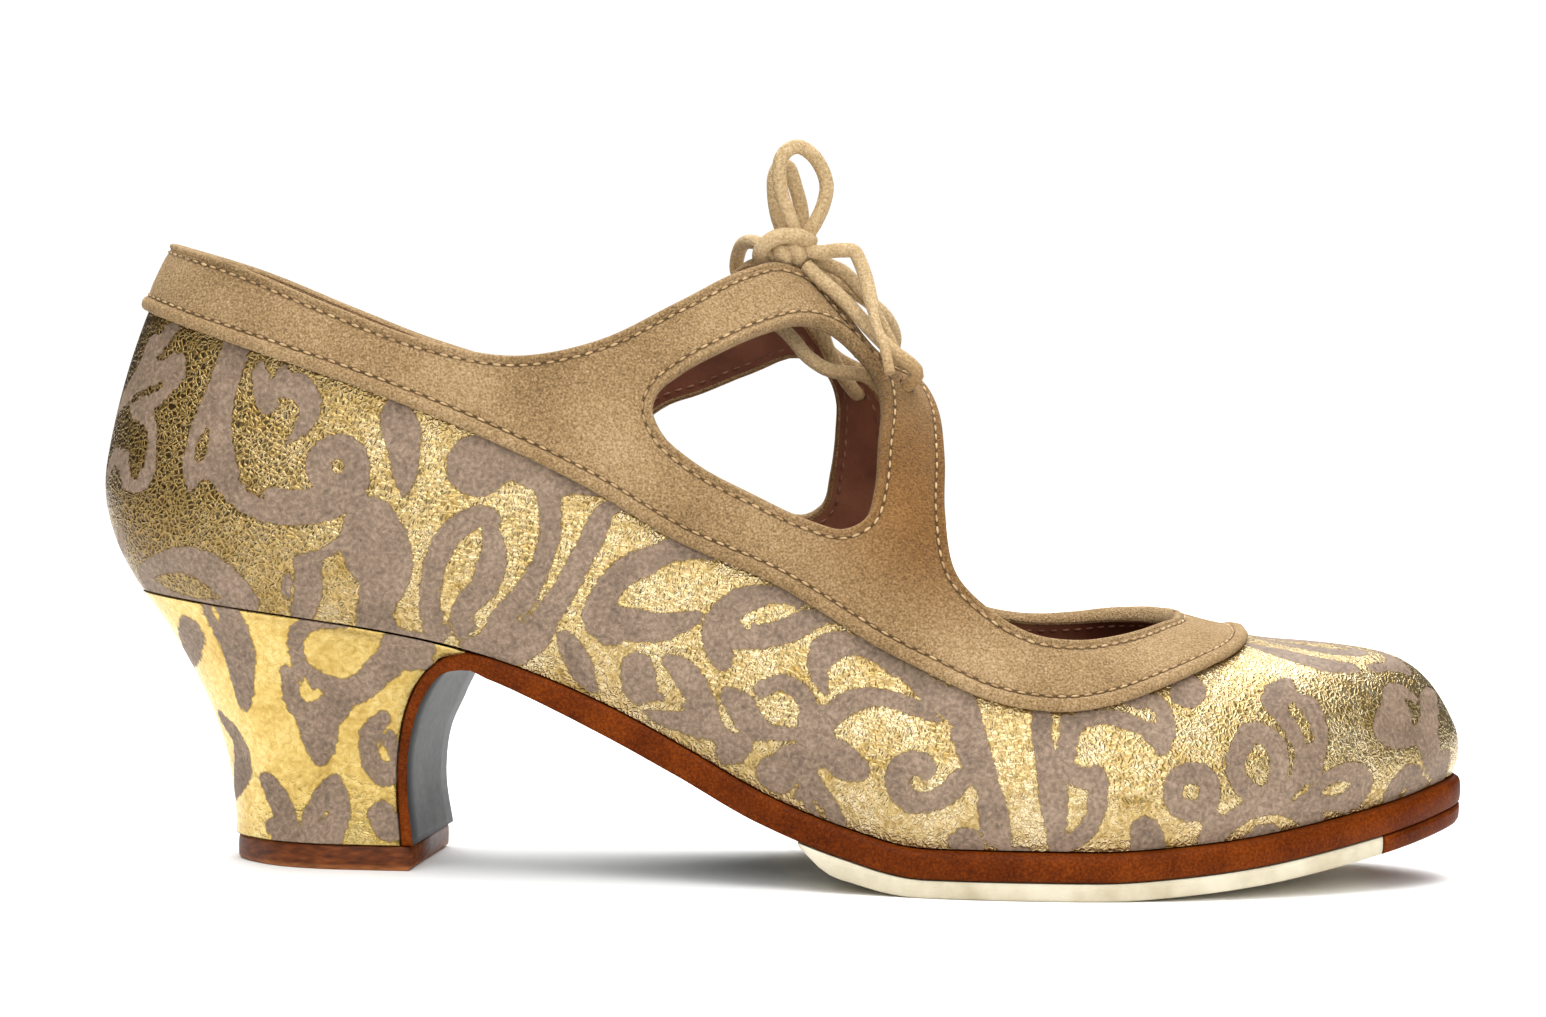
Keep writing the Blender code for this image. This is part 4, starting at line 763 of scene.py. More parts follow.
def tan_suede(name, tones, nap_mm, sewn):
    """Brushed split leather: nap in three tans, short wrinkles, and where it is sewn a dark line of needle
    holes with painted shade in the stitch groove.
    """
    material, shader, here = new_material(name)
    fibres = {"Detail": 3.0, "Vector": here}
    nap = add(material, "TexNoise", {**fibres, "Scale": 1000.0 / nap_mm, "Roughness": 0.6})
    crease = add(material, "TexNoise", {**fibres, "Scale": 700.0 / nap_mm, "Distortion": 1.2})
    cloud = add(material, "TexNoise", {**fibres, "Scale": 1 / 0.02})
    shade = add(material, "Mix", {"data_type": "FLOAT", 0: 0.3, 2: nap, 3: cloud})
    tone = add(material, "ValToRGB", {"stops": tuple(zip((0.34, 0.5, 0.66), tones)), 0: shade})
    # darkened to orange-brown about the throat, within 34 mm of 27 mm ahead and 72 mm up: partly by handling,
    # partly painted shade
    flat = add(material, "VectorMath", {"operation": "MULTIPLY", 0: here, 1: (1.0, 0.0, 1.0)})
    off = add(material, "VectorMath", {"operation": "DISTANCE", 0: flat, 1: (0.027, 0.0, 0.072)}, "Value")
    handled_and_painted_shade = add(material, "MapRange", {
        "interpolation_type": "SMOOTHSTEP", "From Min": 0.006, "From Max": 0.034, "To Min": 1.0,
        "To Max": 0.0, "Value": off,
    })
    darker = {"data_type": "RGBA", "blend_type": "MULTIPLY", 0: handled_and_painted_shade, 6: tone, 7: "#C4A77A"}
    colour = add(material, "Mix", darker, 2)
    if sewn:
        # dark needle holes along the stitch row, with painted shade in its groove
        row = add(material, "Attribute", {"attribute_name": "stitch"}, "Fac")
        row = add(material, "Math", {"operation": "ABSOLUTE", 0: row})
        row = add(material, "MapRange", {
            "From Min": 0.12, "From Max": 0.42, "To Min": 0.85, "To Max": 0.0, "Value": row,
        })
        colour = add(material, "Mix", {"data_type": "RGBA", 0: row, 6: colour, 7: "#3C2812"}, 2)
    relief = add(material, "Math", {"operation": "ADD", 0: nap, 1: crease})
    bump = add(material, "Bump", {"Strength": 0.9, "Distance": 0.0005, "Height": relief})
    fill(material, shader, {
        "Roughness": 0.92, "Specular IOR Level": 0.25, "Sheen Weight": 0.2, "Sheen Roughness": 0.5,
        "Sheen Tint": "#E8D4AC", "Base Color": colour, "Normal": bump,
    })
    return material


SUEDE_TANS = ("#664F30", "#9A7C54", "#C0A47E")
SEWN_SUEDE = tan_suede("sewn_tan_split_suede", SUEDE_TANS, 0.42, True)


def clear_of_foil(p, side):
    """Distance above the band's lower edge, seen from the side."""
    return -outline_distance(p[:, [0, 2]], BELOW_BAND)


BAND_EDGES = [clear_of_foil, clear_of_collar, clear_of_cutout, clear_of_holes]


def edge_frame(turn, rise, side):
    """Loop on the last with its outward normal and the in-surface direction out of the leather."""
    halves = [wall_frame(turn, rise, s) for s in (LATERAL, MEDIAL)]
    pick = (np.asarray(side) > 0.0)[:, None]
    at = np.where(pick, halves[1][0], halves[0][0])
    normal = np.where(pick, halves[1][3], halves[0][3])
    for _ in range(2):
        normal = normal + 0.5 * (np.roll(normal, 1, axis=0) + np.roll(normal, -1, axis=0))
        normal /= np.linalg.norm(normal, axis=1, keepdims=True)
    along = np.roll(at, -1, axis=0) - np.roll(at, 1, axis=0)
    along /= np.linalg.norm(along, axis=1, keepdims=True) + 1e-9
    out = np.cross(normal, along)
    return at, normal, along, out / (np.linalg.norm(out, axis=1, keepdims=True) + 1e-9)


def even_run(run, step):
    """Points at equal steps along an (x, z) run."""
    chord = np.concatenate(([0.0], np.cumsum(np.linalg.norm(np.diff(run, axis=0), axis=1))))
    at = np.linspace(0.0, chord[-1], max(8, int(chord[-1] / step)))
    return np.column_stack((np.interp(at, chord, run[:, 0]), np.interp(at, chord, run[:, 1])))


def crossing(turn, rise, side, distance):
    """Where an outline crosses a seam of the last, from the sign change of its distance."""
    gap = distance(last_point(turn, rise, side))
    k = np.flatnonzero(gap[:-1] * gap[1:] <= 0.0)[-1]
    share = gap[k] / (gap[k] - gap[k + 1])
    return turn[k] + (turn[k + 1] - turn[k]) * share, rise[k] + (rise[k + 1] - rise[k]) * share


def seam_loop(rows, distance):
    """Closed loop of an edge over the back seam, the outer side, the ridge and the inner side."""
    fine = np.linspace(0.0, 1.0, 3000)
    back = crossing(np.zeros(3000), fine * np.pi / 2.0, LATERAL, lambda p: distance(p, LATERAL))
    front = crossing(fine * np.pi, np.full(3000, np.pi / 2.0), LATERAL, lambda p: distance(p, LATERAL))
    turns, rises, sides = [np.array([back[0]])], [np.array([back[1]])], [np.array([LATERAL])]
    for side in (LATERAL, MEDIAL):
        run = even_run(smooth_run(rows[side], 8), 1.1)
        turn, rise, miss = wall_at(run[:, 0], run[:, 1], side)
        good = (miss < 0.03) & (rise < np.pi / 2.0 - 0.02) & (turn > 0.02)
        order = np.flatnonzero(good)[:: 1 if side < 0.0 else -1]
        turns += [turn[order]] + ([np.array([front[0]])] if side < 0.0 else [])
        rises += [rise[order]] + ([np.array([front[1]])] if side < 0.0 else [])
        sides += [np.full(len(order), side)] + ([np.array([LATERAL])] if side < 0.0 else [])
    return np.concatenate(turns), np.concatenate(rises), np.concatenate(sides)


COLLAR_LOOP = edge_frame(*seam_loop(TOPLINE, clear_of_collar))
LOWER_LOOP = edge_frame(*seam_loop({LATERAL: SUEDE_EDGE, MEDIAL: SUEDE_EDGE}, clear_of_foil))
LOWER_LOOP = (*LOWER_LOOP[:3], -LOWER_LOOP[3])
CUT_LOOPS = []
for side in (LATERAL, MEDIAL):
    run = even_run(np.vstack((CUTOUT_RUN[side], CUTOUT_RUN[side][:1])), 1.1)[:-1]
    turn, rise, _ = wall_at(run[:, 0], run[:, 1], side)
    at, normal, along, out = edge_frame(turn, rise, np.full(len(turn), side))
    middle = at.mean(axis=0)
    inward = np.sign(np.einsum("ij,ij->i", out, middle - at).sum())
    CUT_LOOPS.append((at, normal, along, out * inward))


def loop_distance(points, loop):
    """Least distance from each point to a closed loop, its steps split in four."""
    step = np.roll(loop[0], -1, axis=0) - loop[0]
    line = np.concatenate([loop[0] + step * t for t in (0.0, 0.25, 0.5, 0.75)])
    nearest = []
    for block in np.array_split(points, max(1, len(points) // 2000)):
        square = (block**2).sum(axis=1)[:, None] + (line**2).sum(axis=1) - 2.0 * block @ line.T
        nearest.append(np.sqrt(np.maximum(square, 0.0).min(axis=1)))
    return np.concatenate(nearest)


def stitch_line(values, side):
    """Distance past the nearest stitch row, a set distance in from collar, cut-outs and lower edge."""
    p = last_point(values[:, 0], values[:, 1], side)
    cut_loop = CUT_LOOPS[0 if side < 0.0 else 1]
    loops = ((LOWER_LOOP, LOWER_STITCH_IN), (COLLAR_LOOP, STITCH_IN), (cut_loop, STITCH_IN))
    past = np.array([loop_distance(p, loop) - inset for loop, inset in loops])
    return np.take_along_axis(past, np.abs(past).argmin(axis=0)[None], axis=0)[0]


def band_lift(values, side):
    """The band's outer face, drawn down along the stitch rows in a groove of bell section."""
    return BAND_OUT - GROOVE_DEEP * np.exp(-((stitch_line(values, side) / GROOVE_WIDE) ** 2))


points, faces, stitch = both_halves(BAND_EDGES, band_lift, measure=stitch_line)
make_piece(
    "suede_band", points, faces, [SEWN_SUEDE], {"stitch": stitch}, replaces=("suede_overlay",)
)


# The folded edges: a strip of the same suede turned over the raw edge of upper and lining and sewn
# down, so collar, throat and cut-outs end in a round bead; the band's lower edge is rolled under.
def bead(loop, low, high, breadth, out_by, count=12):
    """Bead round a loop: an ellipse between two lifts, breadth wide, about a line out_by off the edge."""
    at, normal, _, out = loop
    phi = np.linspace(0.0, 2.0 * np.pi, count, endpoint=False)
    up = (low + high) / 2.0 + (high - low) / 2.0 * np.cos(phi)
    aside = out_by + breadth / 2.0 * np.sin(phi)
    ring = at[:, None] + normal[:, None] * up[None, :, None] + out[:, None] * aside[None, :, None]
    return loft(ring, close_path=True)


def loft(rings, close_path=False, caps=False):
    """Triangles over a grid of rings, each ring closed; caps are fans about the end rings' middles."""
    n, m = rings.shape[:2]
    path = np.arange(n if close_path else n - 1)
    a = (path[:, None] * m + np.arange(m)).ravel()
    b = (path[:, None] * m + (np.arange(m) + 1) % m).ravel()
    c = (((path[:, None] + 1) % n) * m + np.arange(m)).ravel()
    d = (((path[:, None] + 1) % n) * m + (np.arange(m) + 1) % m).ravel()
    points = rings.reshape(-1, 3)
    faces = np.vstack((np.column_stack((a, b, d)), np.column_stack((a, d, c))))
    if caps:
        k, start, end = np.arange(m), n * m, (n - 1) * m
        points = np.vstack((points, rings[0].mean(axis=0), rings[-1].mean(axis=0)))
        first = np.column_stack((np.full(m, start), (k + 1) % m, k))
        final = np.column_stack((np.full(m, start + 1), end + k, end + (k + 1) % m))
        faces = np.vstack((faces, first, final))
    return points, faces


def outward(points, faces):
    """Faces turned so that the enclosed volume is positive."""
    a, b, c = points[faces].transpose(1, 0, 2)
    return faces if np.einsum("ij,ij->i", a, np.cross(b, c)).sum() > 0.0 else faces[:, ::-1]


def joined(parts):
    """Several point and face sets as one."""
    points, faces, start = [], [], 0
    for p, f in parts:
        points.append(p)
        faces.append(outward(p, f) + start)
        start += len(p)
    return np.vstack(points), np.vstack(faces)


FOLD = {"low": -1.75, "high": BAND_OUT + 0.35, "breadth": 1.6, "out_by": -0.4}
ROLL = {"low": 0.05, "high": BAND_OUT + 0.7, "breadth": 2.5, "out_by": -0.75}
beads = [bead(loop, **FOLD) for loop in (COLLAR_LOOP, *CUT_LOOPS)]
beads.append(bead(LOWER_LOOP, **ROLL))
points, faces = joined(beads)
FOLDED_SUEDE = tan_suede("folded_tan_split_suede", SUEDE_TANS, 0.42, False)
make_piece("folded_edges", points, faces, [FOLDED_SUEDE])


# The stitching: one row of waxed thread along every folded edge, tan outside and brown on the
# lining, and one above the rolled lower edge; each stitch is a short pull sunk at its two ends.
def waxed_thread(name, dark, pale):
    """Sewing thread between two tones: its two-ply twist is finer than a pixel, so only the change of tone
    from stitch to stitch is drawn."""
    material, shader, here = new_material(name)
    ply = add(material, "TexNoise", {"Scale": 1 / 0.003, "Detail": 2.0, "Vector": here})
    tone = add(material, "ValToRGB", {"stops": ((0.35, dark), (0.65, pale)), 0: ply})
    fill(material, shader, {"Roughness": 0.5, "Base Color": tone})
    return material


def stitch_row(loop, inset, lift, pitch=2.4, long=1.6, thick=0.5):
    """Stitches at even pitch: each a lens, radius thick/2 * sin(v), arched 0.12 mm over its length."""
    at, normal, along, out = loop
    line = at - out * inset + normal * lift
    gap = np.linalg.norm(np.roll(line, -1, axis=0) - line, axis=1)
    chord = np.concatenate(([0.0], np.cumsum(gap)))
    stops = np.arange(0.0, chord[-1] - pitch / 2.0, chord[-1] / max(1, round(chord[-1] / pitch)))
    wrap = lambda field: np.vstack((field, field[:1]))
    take = lambda field: np.column_stack([np.interp(stops, chord, column) for column in wrap(field).T])
    centre, up, way = take(line), take(normal), take(along)
    up /= np.linalg.norm(up, axis=1, keepdims=True)
    way /= np.linalg.norm(way, axis=1, keepdims=True) + 1e-9
    across = np.cross(up, way)
    v = np.linspace(0.12, np.pi - 0.12, 5)[:, None]
    u = np.linspace(0.0, 2.0 * np.pi, 6, endpoint=False)[None, :]
    lens = np.stack((np.broadcast_to(-np.cos(v) * long / 2.0, (5, 6)), np.sin(v) * np.cos(u) * thick / 2.0,
                     np.sin(v) * np.sin(u) * thick / 2.0 + 0.12 * np.sin(v)), axis=-1)
    body, faces = loft(lens, caps=True)
    body = (centre[:, None] + body[None, :, :1] * way[:, None] + body[None, :, 1:2] * across[:, None]
            + body[None, :, 2:] * up[:, None])
    starts = np.arange(len(centre))[:, None, None] * body.shape[1]
    return body.reshape(-1, 3), (faces[None] + starts).reshape(-1, 3)


THREAD_LIFT, INSIDE_LIFT, INSIDE_STITCH_IN = BAND_OUT - 0.15, 1.62, 1.9
rows, inside = [stitch_row(LOWER_LOOP, LOWER_STITCH_IN, THREAD_LIFT)], []
for at, normal, along, out in (COLLAR_LOOP, *CUT_LOOPS):
    rows.append(stitch_row((at, normal, along, out), STITCH_IN, THREAD_LIFT))
    inside.append(stitch_row((at, -normal, along, out), INSIDE_STITCH_IN, INSIDE_LIFT))
for name, sewn, thread, slot in (
    ("stitches", rows, ("waxed_tan_thread", "#97774C", "#C3A478"), "suede"),
    ("lining_stitches", inside, ("waxed_brown_thread", "#6B4530", "#8E6448"), "foil_leather"),
):
    points, faces = joined(sewn)
    make_piece(name, points, faces, [waxed_thread(*thread)])


# The insole: a thin dark leather sock glued in over the shank, worn smooth where the heel stands.
# Under its edge lies the lining's margin, turned in 8 mm all round when the shoe was lasted.
INSOLE, sock, here = new_material("dark_brown_insole_leather")
# glazed sock leather: dark brown, polished in patches, with millimetre pores
cloud = add(INSOLE, "TexNoise", {"Scale": 1 / 0.02, "Detail": 5.0, "Vector": here})
browns = ((0.3, "#38200F"), (0.55, "#4F2D1A"), (0.8, "#633B24"))
tone = add(INSOLE, "ValToRGB", {"stops": browns, 0: cloud})
rough = add(INSOLE, "MapRange", {"To Min": 0.42, "To Max": 0.7, "Value": cloud})
pores = add(INSOLE, "TexNoise", {"Scale": 1 / 0.0009, "Detail": 3.0, "Vector": here})
bump = add(INSOLE, "Bump", {"Strength": 0.2, "Distance": 0.0004, "Height": pores})
fill(INSOLE, sock, {"Specular IOR Level": 0.4, "Base Color": tone, "Roughness": rough, "Normal": bump})
turns = np.linspace(0.0, np.pi, 160)[:, None]
insets, heights = np.array([[0.4, 8.0, 8.0, 0.4]]), np.array([[0.25, 0.25, -0.05, -0.05]])
margin = []
for side in (LATERAL, MEDIAL):
    x, y = plan_outline(turns, side, last_column("tuck", turns) + insets)
    margin.append(np.stack((x, y, feather_height(x) + heights), axis=-1))
points, faces = loft(np.concatenate((margin[0], margin[1][-2:0:-1])), close_path=True)
make_piece("lining_margin", points, outward(points, faces), [LINING])
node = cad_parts["insole"]
node.data.materials.clear()
node.data.materials.append(INSOLE)


# The outsole: one strip of sole leather from the toe over the waist and down the heel's breast. Its
# cut edge is stained red-brown and burnished; its flat faces are painted a soft grey.
GAP, OUTSOLE, SOLE_START = 0.3, 5.0, -50.5
BREAST = columns(
    "back_x back_z front_x front_z lateral medial skew",
    (
        (-66.1, 4.7, -64.0, 4.7, 20.3, 21.3, 4.2), (-66.8, 12.0, -65.0, 12.0, 19.8, 20.8, 4.0),
        (-67.0, 18.0, -65.3, 17.7, 20.0, 21.0, 4.2), (-66.5, 24.0, -64.8, 23.5, 21.0, 22.0, 4.6),
        (-65.2, 30.0, -63.4, 29.2, 22.6, 23.2, 5.6), (-62.9, 35.0, -61.2, 33.6, 24.6, 24.6, 5.4),
        (-60.0, 38.2, -58.9, 36.2, 26.2, 25.4, 4.0), (-57.0, 39.9, -56.2, 37.1, 27.6, 25.8, 2.0),
        (-54.2, 40.4, -53.4, 37.2, 28.6, 26.0, 0.0),
    ),
)
OUTSOLE_DEPTH = columns("x depth", ((-50.0, 3.6), (-38.0, 4.6), (-28.0, OUTSOLE), (127.0, OUTSOLE)))
SOLE_MARGIN = columns("x out", ((-50.0, 0.8), (-10.0, 1.0), (30.0, 1.9), (110.0, 1.9), (127.0, 1.5)))


def sole_point(turn, side, share, depth):
    """Under the feather edge: share of the margin outside it in plan, depth square to the sole's run."""
    x = HEEL_BACK + (TOE_FRONT - HEEL_BACK) * (1.0 - np.cos(turn)) / 2.0
    inset = last_column("tuck", turn) - share * through(SOLE_MARGIN["x"], SOLE_MARGIN["out"], x)
    x, y = plan_outline(turn, side, inset)
    slope = feather_height(x + 0.5) - feather_height(x - 0.5)
    return np.stack((x, y, feather_height(x) - depth * np.hypot(1.0, slope)), axis=-1)


def strip_rings(outer, inner, across=6):
    """Closed rings from the two edges' profiles: outer down, across below, inner up, across above."""
    t = (np.arange(1, across) / across)[None, :, None]
    below = outer[:, -1:] + (inner[:, -1:] - outer[:, -1:]) * t
    above = inner[:, :1] + (outer[:, :1] - inner[:, :1]) * t
    return np.concatenate((outer, below, inner[:, ::-1], above), axis=1)


def breast_edge(row, share, part, side):
    """Breast strip: part goes from its back face to its front face; it stands askew across the shoe."""
    at = lambda name: through(np.arange(9.0), BREAST[name], row)[:, None]
    edge, width = at("lateral" if side < 0.0 else "medial"), at("lateral") + at("medial")
    x = at("back_x") + (at("front_x") - at("back_x")) * part
    z = at("back_z") + (at("front_z") - at("back_z")) * part
    y = side * (edge - (1.0 - share) * 0.5)
    return np.stack(np.broadcast_arrays(x + at("skew") * (y + at("lateral")) / width, y, z), axis=-1)


# places in a ring that lie on the underside, from the outer edge's foot to the inner edge's
UNDERSIDE = (6, 13)
PART = np.array([[0.0, 0.1, 0.25, 0.5, 0.75, 0.92, 1.0]])
EDGE_SHARE = np.array([[0.3, 0.8, 1.0, 1.08, 1.05, 0.98, 0.86]])
rows = np.linspace(0.0, 8.0, 44)
within = np.minimum(EDGE_SHARE, 1.0)
breast = strip_rings(*[breast_edge(rows, within, PART, side) for side in (LATERAL, MEDIAL)])
turns = np.linspace(turn_of(SOLE_START), np.pi, 120)[:, None]
depth = GAP + through(OUTSOLE_DEPTH["x"], OUTSOLE_DEPTH["depth"], plan_outline(turns, LATERAL, 0.0)[0])
down = GAP + (depth - GAP) * PART
run = strip_rings(*[sole_point(turns, side, EDGE_SHARE, down) for side in (LATERAL, MEDIAL)])
rings = np.concatenate((breast, run))
points, faces = loft(rings, caps=True)
faces = outward(points, faces)
ring_place = faces % rings.shape[1]
on_rings = (faces < rings.shape[0] * rings.shape[1]).all(axis=1)
flat = ((ring_place >= UNDERSIDE[0]) & (ring_place <= UNDERSIDE[1])).all(axis=1) & on_rings

SOLE_EDGE, burnish, here = new_material("burnished_sole_leather_edge")
# stained fibre edge: orange-brown, with fine flecks of half a millimetre and clouds 8 mm across
fleck = add(SOLE_EDGE, "TexNoise", {"Scale": 1 / 0.0005, "Detail": 3.0, "Roughness": 0.6, "Vector": here})
cloud = add(SOLE_EDGE, "TexNoise", {"Scale": 1 / 0.008, "Detail": 3.0, "Vector": here})
stain = add(SOLE_EDGE, "Mix", {"data_type": "FLOAT", 0: 0.4, 2: fleck, 3: cloud})
browns = ((0.34, "#421803"), (0.5, "#5F2805"), (0.66, "#7C390A"))
tone = add(SOLE_EDGE, "ValToRGB", {"stops": browns, 0: stain})
rough = add(SOLE_EDGE, "MapRange", {"To Min": 0.34, "To Max": 0.6, "Value": fleck})
bump = add(SOLE_EDGE, "Bump", {"Strength": 0.25, "Distance": 0.0004, "Height": fleck})
fill(SOLE_EDGE, burnish, {"Specular IOR Level": 0.05, "Base Color": tone, "Roughness": rough, "Normal": bump})

SOLE_FACE, painted, here = new_material("grey_painted_sole_leather")
# thin grey paint on smooth leather: cloudy tone over 12 mm and a satin skin with grit of about a millimetre
cloud = add(SOLE_FACE, "TexNoise", {"Scale": 1 / 0.012, "Detail": 5.0, "Vector": here})
greys = ((0.3, "#303232"), (0.55, "#3C3E3E"), (0.8, "#4E504E"))
tone = add(SOLE_FACE, "ValToRGB", {"stops": greys, 0: cloud})
grit = add(SOLE_FACE, "TexNoise", {"Scale": 1 / 0.0012, "Detail": 4.0, "Vector": here})
rough = add(SOLE_FACE, "MapRange", {"To Min": 0.4, "To Max": 0.6, "Value": grit})
bump = add(SOLE_FACE, "Bump", {"Strength": 0.12, "Distance": 0.0004, "Height": grit})
fill(SOLE_FACE, painted, {"Specular IOR Level": 0.2, "Base Color": tone, "Roughness": rough, "Normal": bump})
SOLE_LOOKS = [SOLE_EDGE, SOLE_FACE]
make_piece("outsole_leather", points, faces, SOLE_LOOKS, kinds=flat, replaces=("outsole",))


# The half sole and toe piece: a cream rubber half sole cemented under the ball of the foot, butted
# at the front against a hard brown toe piece that takes the strikes.
RUBBER, RUBBER_START, RUBBER_END = 3.1, 5.0, 111.4
RUBBER_DEPTH = columns("x depth", ((5.0, 0.5), (9.5, 3.0), (16.0, 3.3), (28.0, RUBBER), (127.0, RUBBER)))


def forefoot_rings(x_from, x_to, count):
    """A layer under the outsole: its edge drops straight and turns under with a 0.6 mm round."""
    turns = np.linspace(turn_of(x_from), turn_of(x_to), count)[:, None]
    thick = through(RUBBER_DEPTH["x"], RUBBER_DEPTH["depth"], plan_outline(turns, LATERAL, 0.0)[0])
    down = OUTSOLE + 2.0 * GAP + thick * np.array([[0.0, 0.3, 0.6, 0.82, 0.94, 1.0]])
    share = np.array([[0.93, 0.97, 0.95, 0.9, 0.8, 0.62]])
    return strip_rings(*[sole_point(turns, side, share, down) for side in (LATERAL, MEDIAL)])


CREAM, rubber, here = new_material("cream_rubber_sheet")
# cut rubber sheet: matt cream, greyed by dust, with a sawn grain of about 0.6 mm
dust = add(CREAM, "TexNoise", {"Scale": 1 / 0.009, "Detail": 5.0, "Vector": here})
creams = ((0.3, "#B7AB8E"), (0.5, "#CFC5AC"), (0.75, "#DFD7C2"))
tone = add(CREAM, "ValToRGB", {"stops": creams, 0: dust})
grain = add(CREAM, "TexNoise", {"Scale": 1 / 0.0006, "Detail": 3.0, "Vector": here})
rough = add(CREAM, "MapRange", {"To Min": 0.6, "To Max": 0.85, "Value": grain})
bump = add(CREAM, "Bump", {"Strength": 0.3, "Distance": 0.0004, "Height": grain})
fill(CREAM, rubber, {"Base Color": tone, "Roughness": rough, "Normal": bump})
for name, x_from, x_to, count, look, slot, node in (
    ("rubber_half_sole", RUBBER_START, RUBBER_END, 70, CREAM, "rubber", "half_sole"),
    ("brown_toe_piece", RUBBER_END + 0.4, TOE_FRONT, 40, SOLE_EDGE, "toe_leather", "toe_piece"),
):
    points, faces = loft(forefoot_rings(x_from, x_to, count), caps=True)
    make_piece(name, points, outward(points, faces), [look], replaces=(node,))


# The heel: a wooden block five centimetres high, covered in the same gold damask as the upper,
# drawn tight over its sides and tucked under the sole strip at the breast.
LIFT, HEEL_BOTTOM_BACK = 4.4, -98.3
SEAT_FRONT, SEAT_POINTS, REAR_END = -54.0, 61, -90.0
HEEL_LEAVES = (
    ((215, 605, 14), (228, 625, 16), (238, 650, 16), (240, 680, 14), (238, 705, 12), (232, 722, 8),
     (228, 735, 4)),
    ((185, 610, 9), (200, 630, 10), (212, 652, 8), (218, 675, 6), (222, 690, 4)),
    ((165, 612, 6), (175, 622, 6)),
    ((188, 645, 5), (200, 665, 6), (210, 688, 6), (218, 710, 6), (226, 735, 5)),
    ((312, 622, 8), (298, 632, 9), (296, 650, 7), (302, 668, 8), (315, 682, 12), (335, 692, 14),
     (352, 692, 14), (370, 680, 14), (385, 665, 16), (400, 655, 16), (415, 655, 14), (425, 650, 10)),
    ((315, 622, 6), (345, 624, 4)),
    ((395, 645, 14), (415, 648, 12), (425, 662, 8)),
    ((318, 695, 22), (318, 715, 22), (320, 735, 18), (321, 752, 12), (320, 760, 6)),
    ((286, 672, 6), (290, 680, 9), (296, 698, 12), (303, 712, 10)),
    ((345, 695, 14), (330, 712, 16)),
    ((384, 718, 7), (372, 730, 10), (368, 750, 9), (374, 767, 10), (388, 778, 9), (394, 765, 6),
     (390, 738, 7)),
    ((238, 752, 4), (242, 770, 6)),
    ((243, 775, 8), (262, 785, 14), (275, 802, 14), (284, 822, 14), (286, 842, 14)),
    ((262, 825, 12), (250, 805, 9)),
    ((243, 838, 9), (262, 846, 9)),
    ((335, 780, 6), (332, 795, 16), (328, 812, 22), (322, 832, 22), (318, 846, 18)),
    ((382, 815, 14), (388, 828, 13), (396, 835, 6)),
)
HEEL_SLITS = (
    ((190, 605, 5), (202, 622, 4), (213, 645, 4), (220, 668, 3), (225, 688, 2)),
    ((165, 612, 5), (180, 630, 6), (193, 645, 5), (203, 658, 3)),
    ((214, 607, 3), (218, 620, 2)),
    ((303, 680, 4), (308, 695, 7), (320, 693, 4)),
    ((380, 744, 2), (384, 754, 3), (389, 760, 2)),
    ((386, 733, 2), (391, 724, 3)),
    ((252, 788, 4), (258, 798, 5), (266, 810, 5), (270, 815, 3)),
    ((245, 815, 4), (256, 828, 4), (262, 840, 3)),
    ((323, 818, 2), (328, 812, 2)),
)


def heel_rings(share):
    """Heel levels: the seat's plan narrowed to the breast's edges, its back swept in by share squared."""
    turns = np.linspace(turn_of(SEAT_FRONT), 0.0, SEAT_POINTS)
    tuck = last_column("tuck", turns)
    seat = [np.column_stack(plan_outline(turns, side, tuck)) for side in (LATERAL, MEDIAL)]
    seat = np.vstack((seat[0], seat[1][-2::-1]))
    back = seat[:, 0].min()
    low = LIFT + GAP
    z = low + share * (feather_height(SEAT_FRONT - 0.5) - GAP - low)
    at = lambda name: through(BREAST["back_z"], BREAST[name], z)[:, None]
    along = np.clip((seat[:, 0] - back) / (seat[0, 0] - back), 0.0, 1.0)[None]
    outer = (seat[:, 1] < 0.0)[None]
    y = np.where(outer, seat[:, 1] / -seat[0, 1], seat[:, 1] / seat[-1, 1])
    y = y * np.where(outer, at("lateral"), at("medial"))
    rear = HEEL_BOTTOM_BACK + (back - HEEL_BOTTOM_BACK) * share[:, None] ** 2
    skew = at("skew") * (y + at("lateral")) / (at("lateral") + at("medial"))
    x = rear + along * (at("back_x") - 0.4 - rear) + skew * along**2
    z = low + share[:, None] * (feather_height(seat[:, 0]) - GAP - low)[None]
    return np.stack(np.broadcast_arrays(x, y, z), axis=-1)


rings = heel_rings(np.linspace(0.0, 1.0, 150))
points, faces = loft(rings, caps=True)
outer_side = np.concatenate((rings[:, :SEAT_POINTS], rings[:, SEAT_POINTS - 2 :: -1]), axis=1).reshape(-1, 3)
outer_side = np.vstack((outer_side, points[-2:]))
COVER = damask_finish(
    "gold_foil_heel_cover_with_taupe_damask", ("#B0914C", "#C6AA64", "#D4BC7C"), 1.8, 0.25, (0.15, 0.15),
    0.0, 0.4,
)
HEEL_BACK_LEAVES = (
    ((0, 8, 1.2), (0, 14, 2.8), (0, 22, 1.4), (0, 32, 3.2), (0, 42, 1.4)),
    ((4, 12, 1.2), (8, 16, 2.4), (10, 22, 2), (7, 26, 1.4)),
    ((3, 36, 1.2), (8, 39, 2.4), (13, 43, 2)),
)
motif = damask_depth(outer_side, HEEL_LEAVES, HEEL_SLITS)
breadth = np.repeat(np.abs(rings[:, :, 1]).max(axis=1), rings.shape[1])
rear = np.tile(rings[-1, :, 0] < REAR_END, len(rings))
facing = np.sqrt(np.clip(1.0 - (points[:-2, 1] / breadth) ** 2, 0.0, 1.0)) * rear
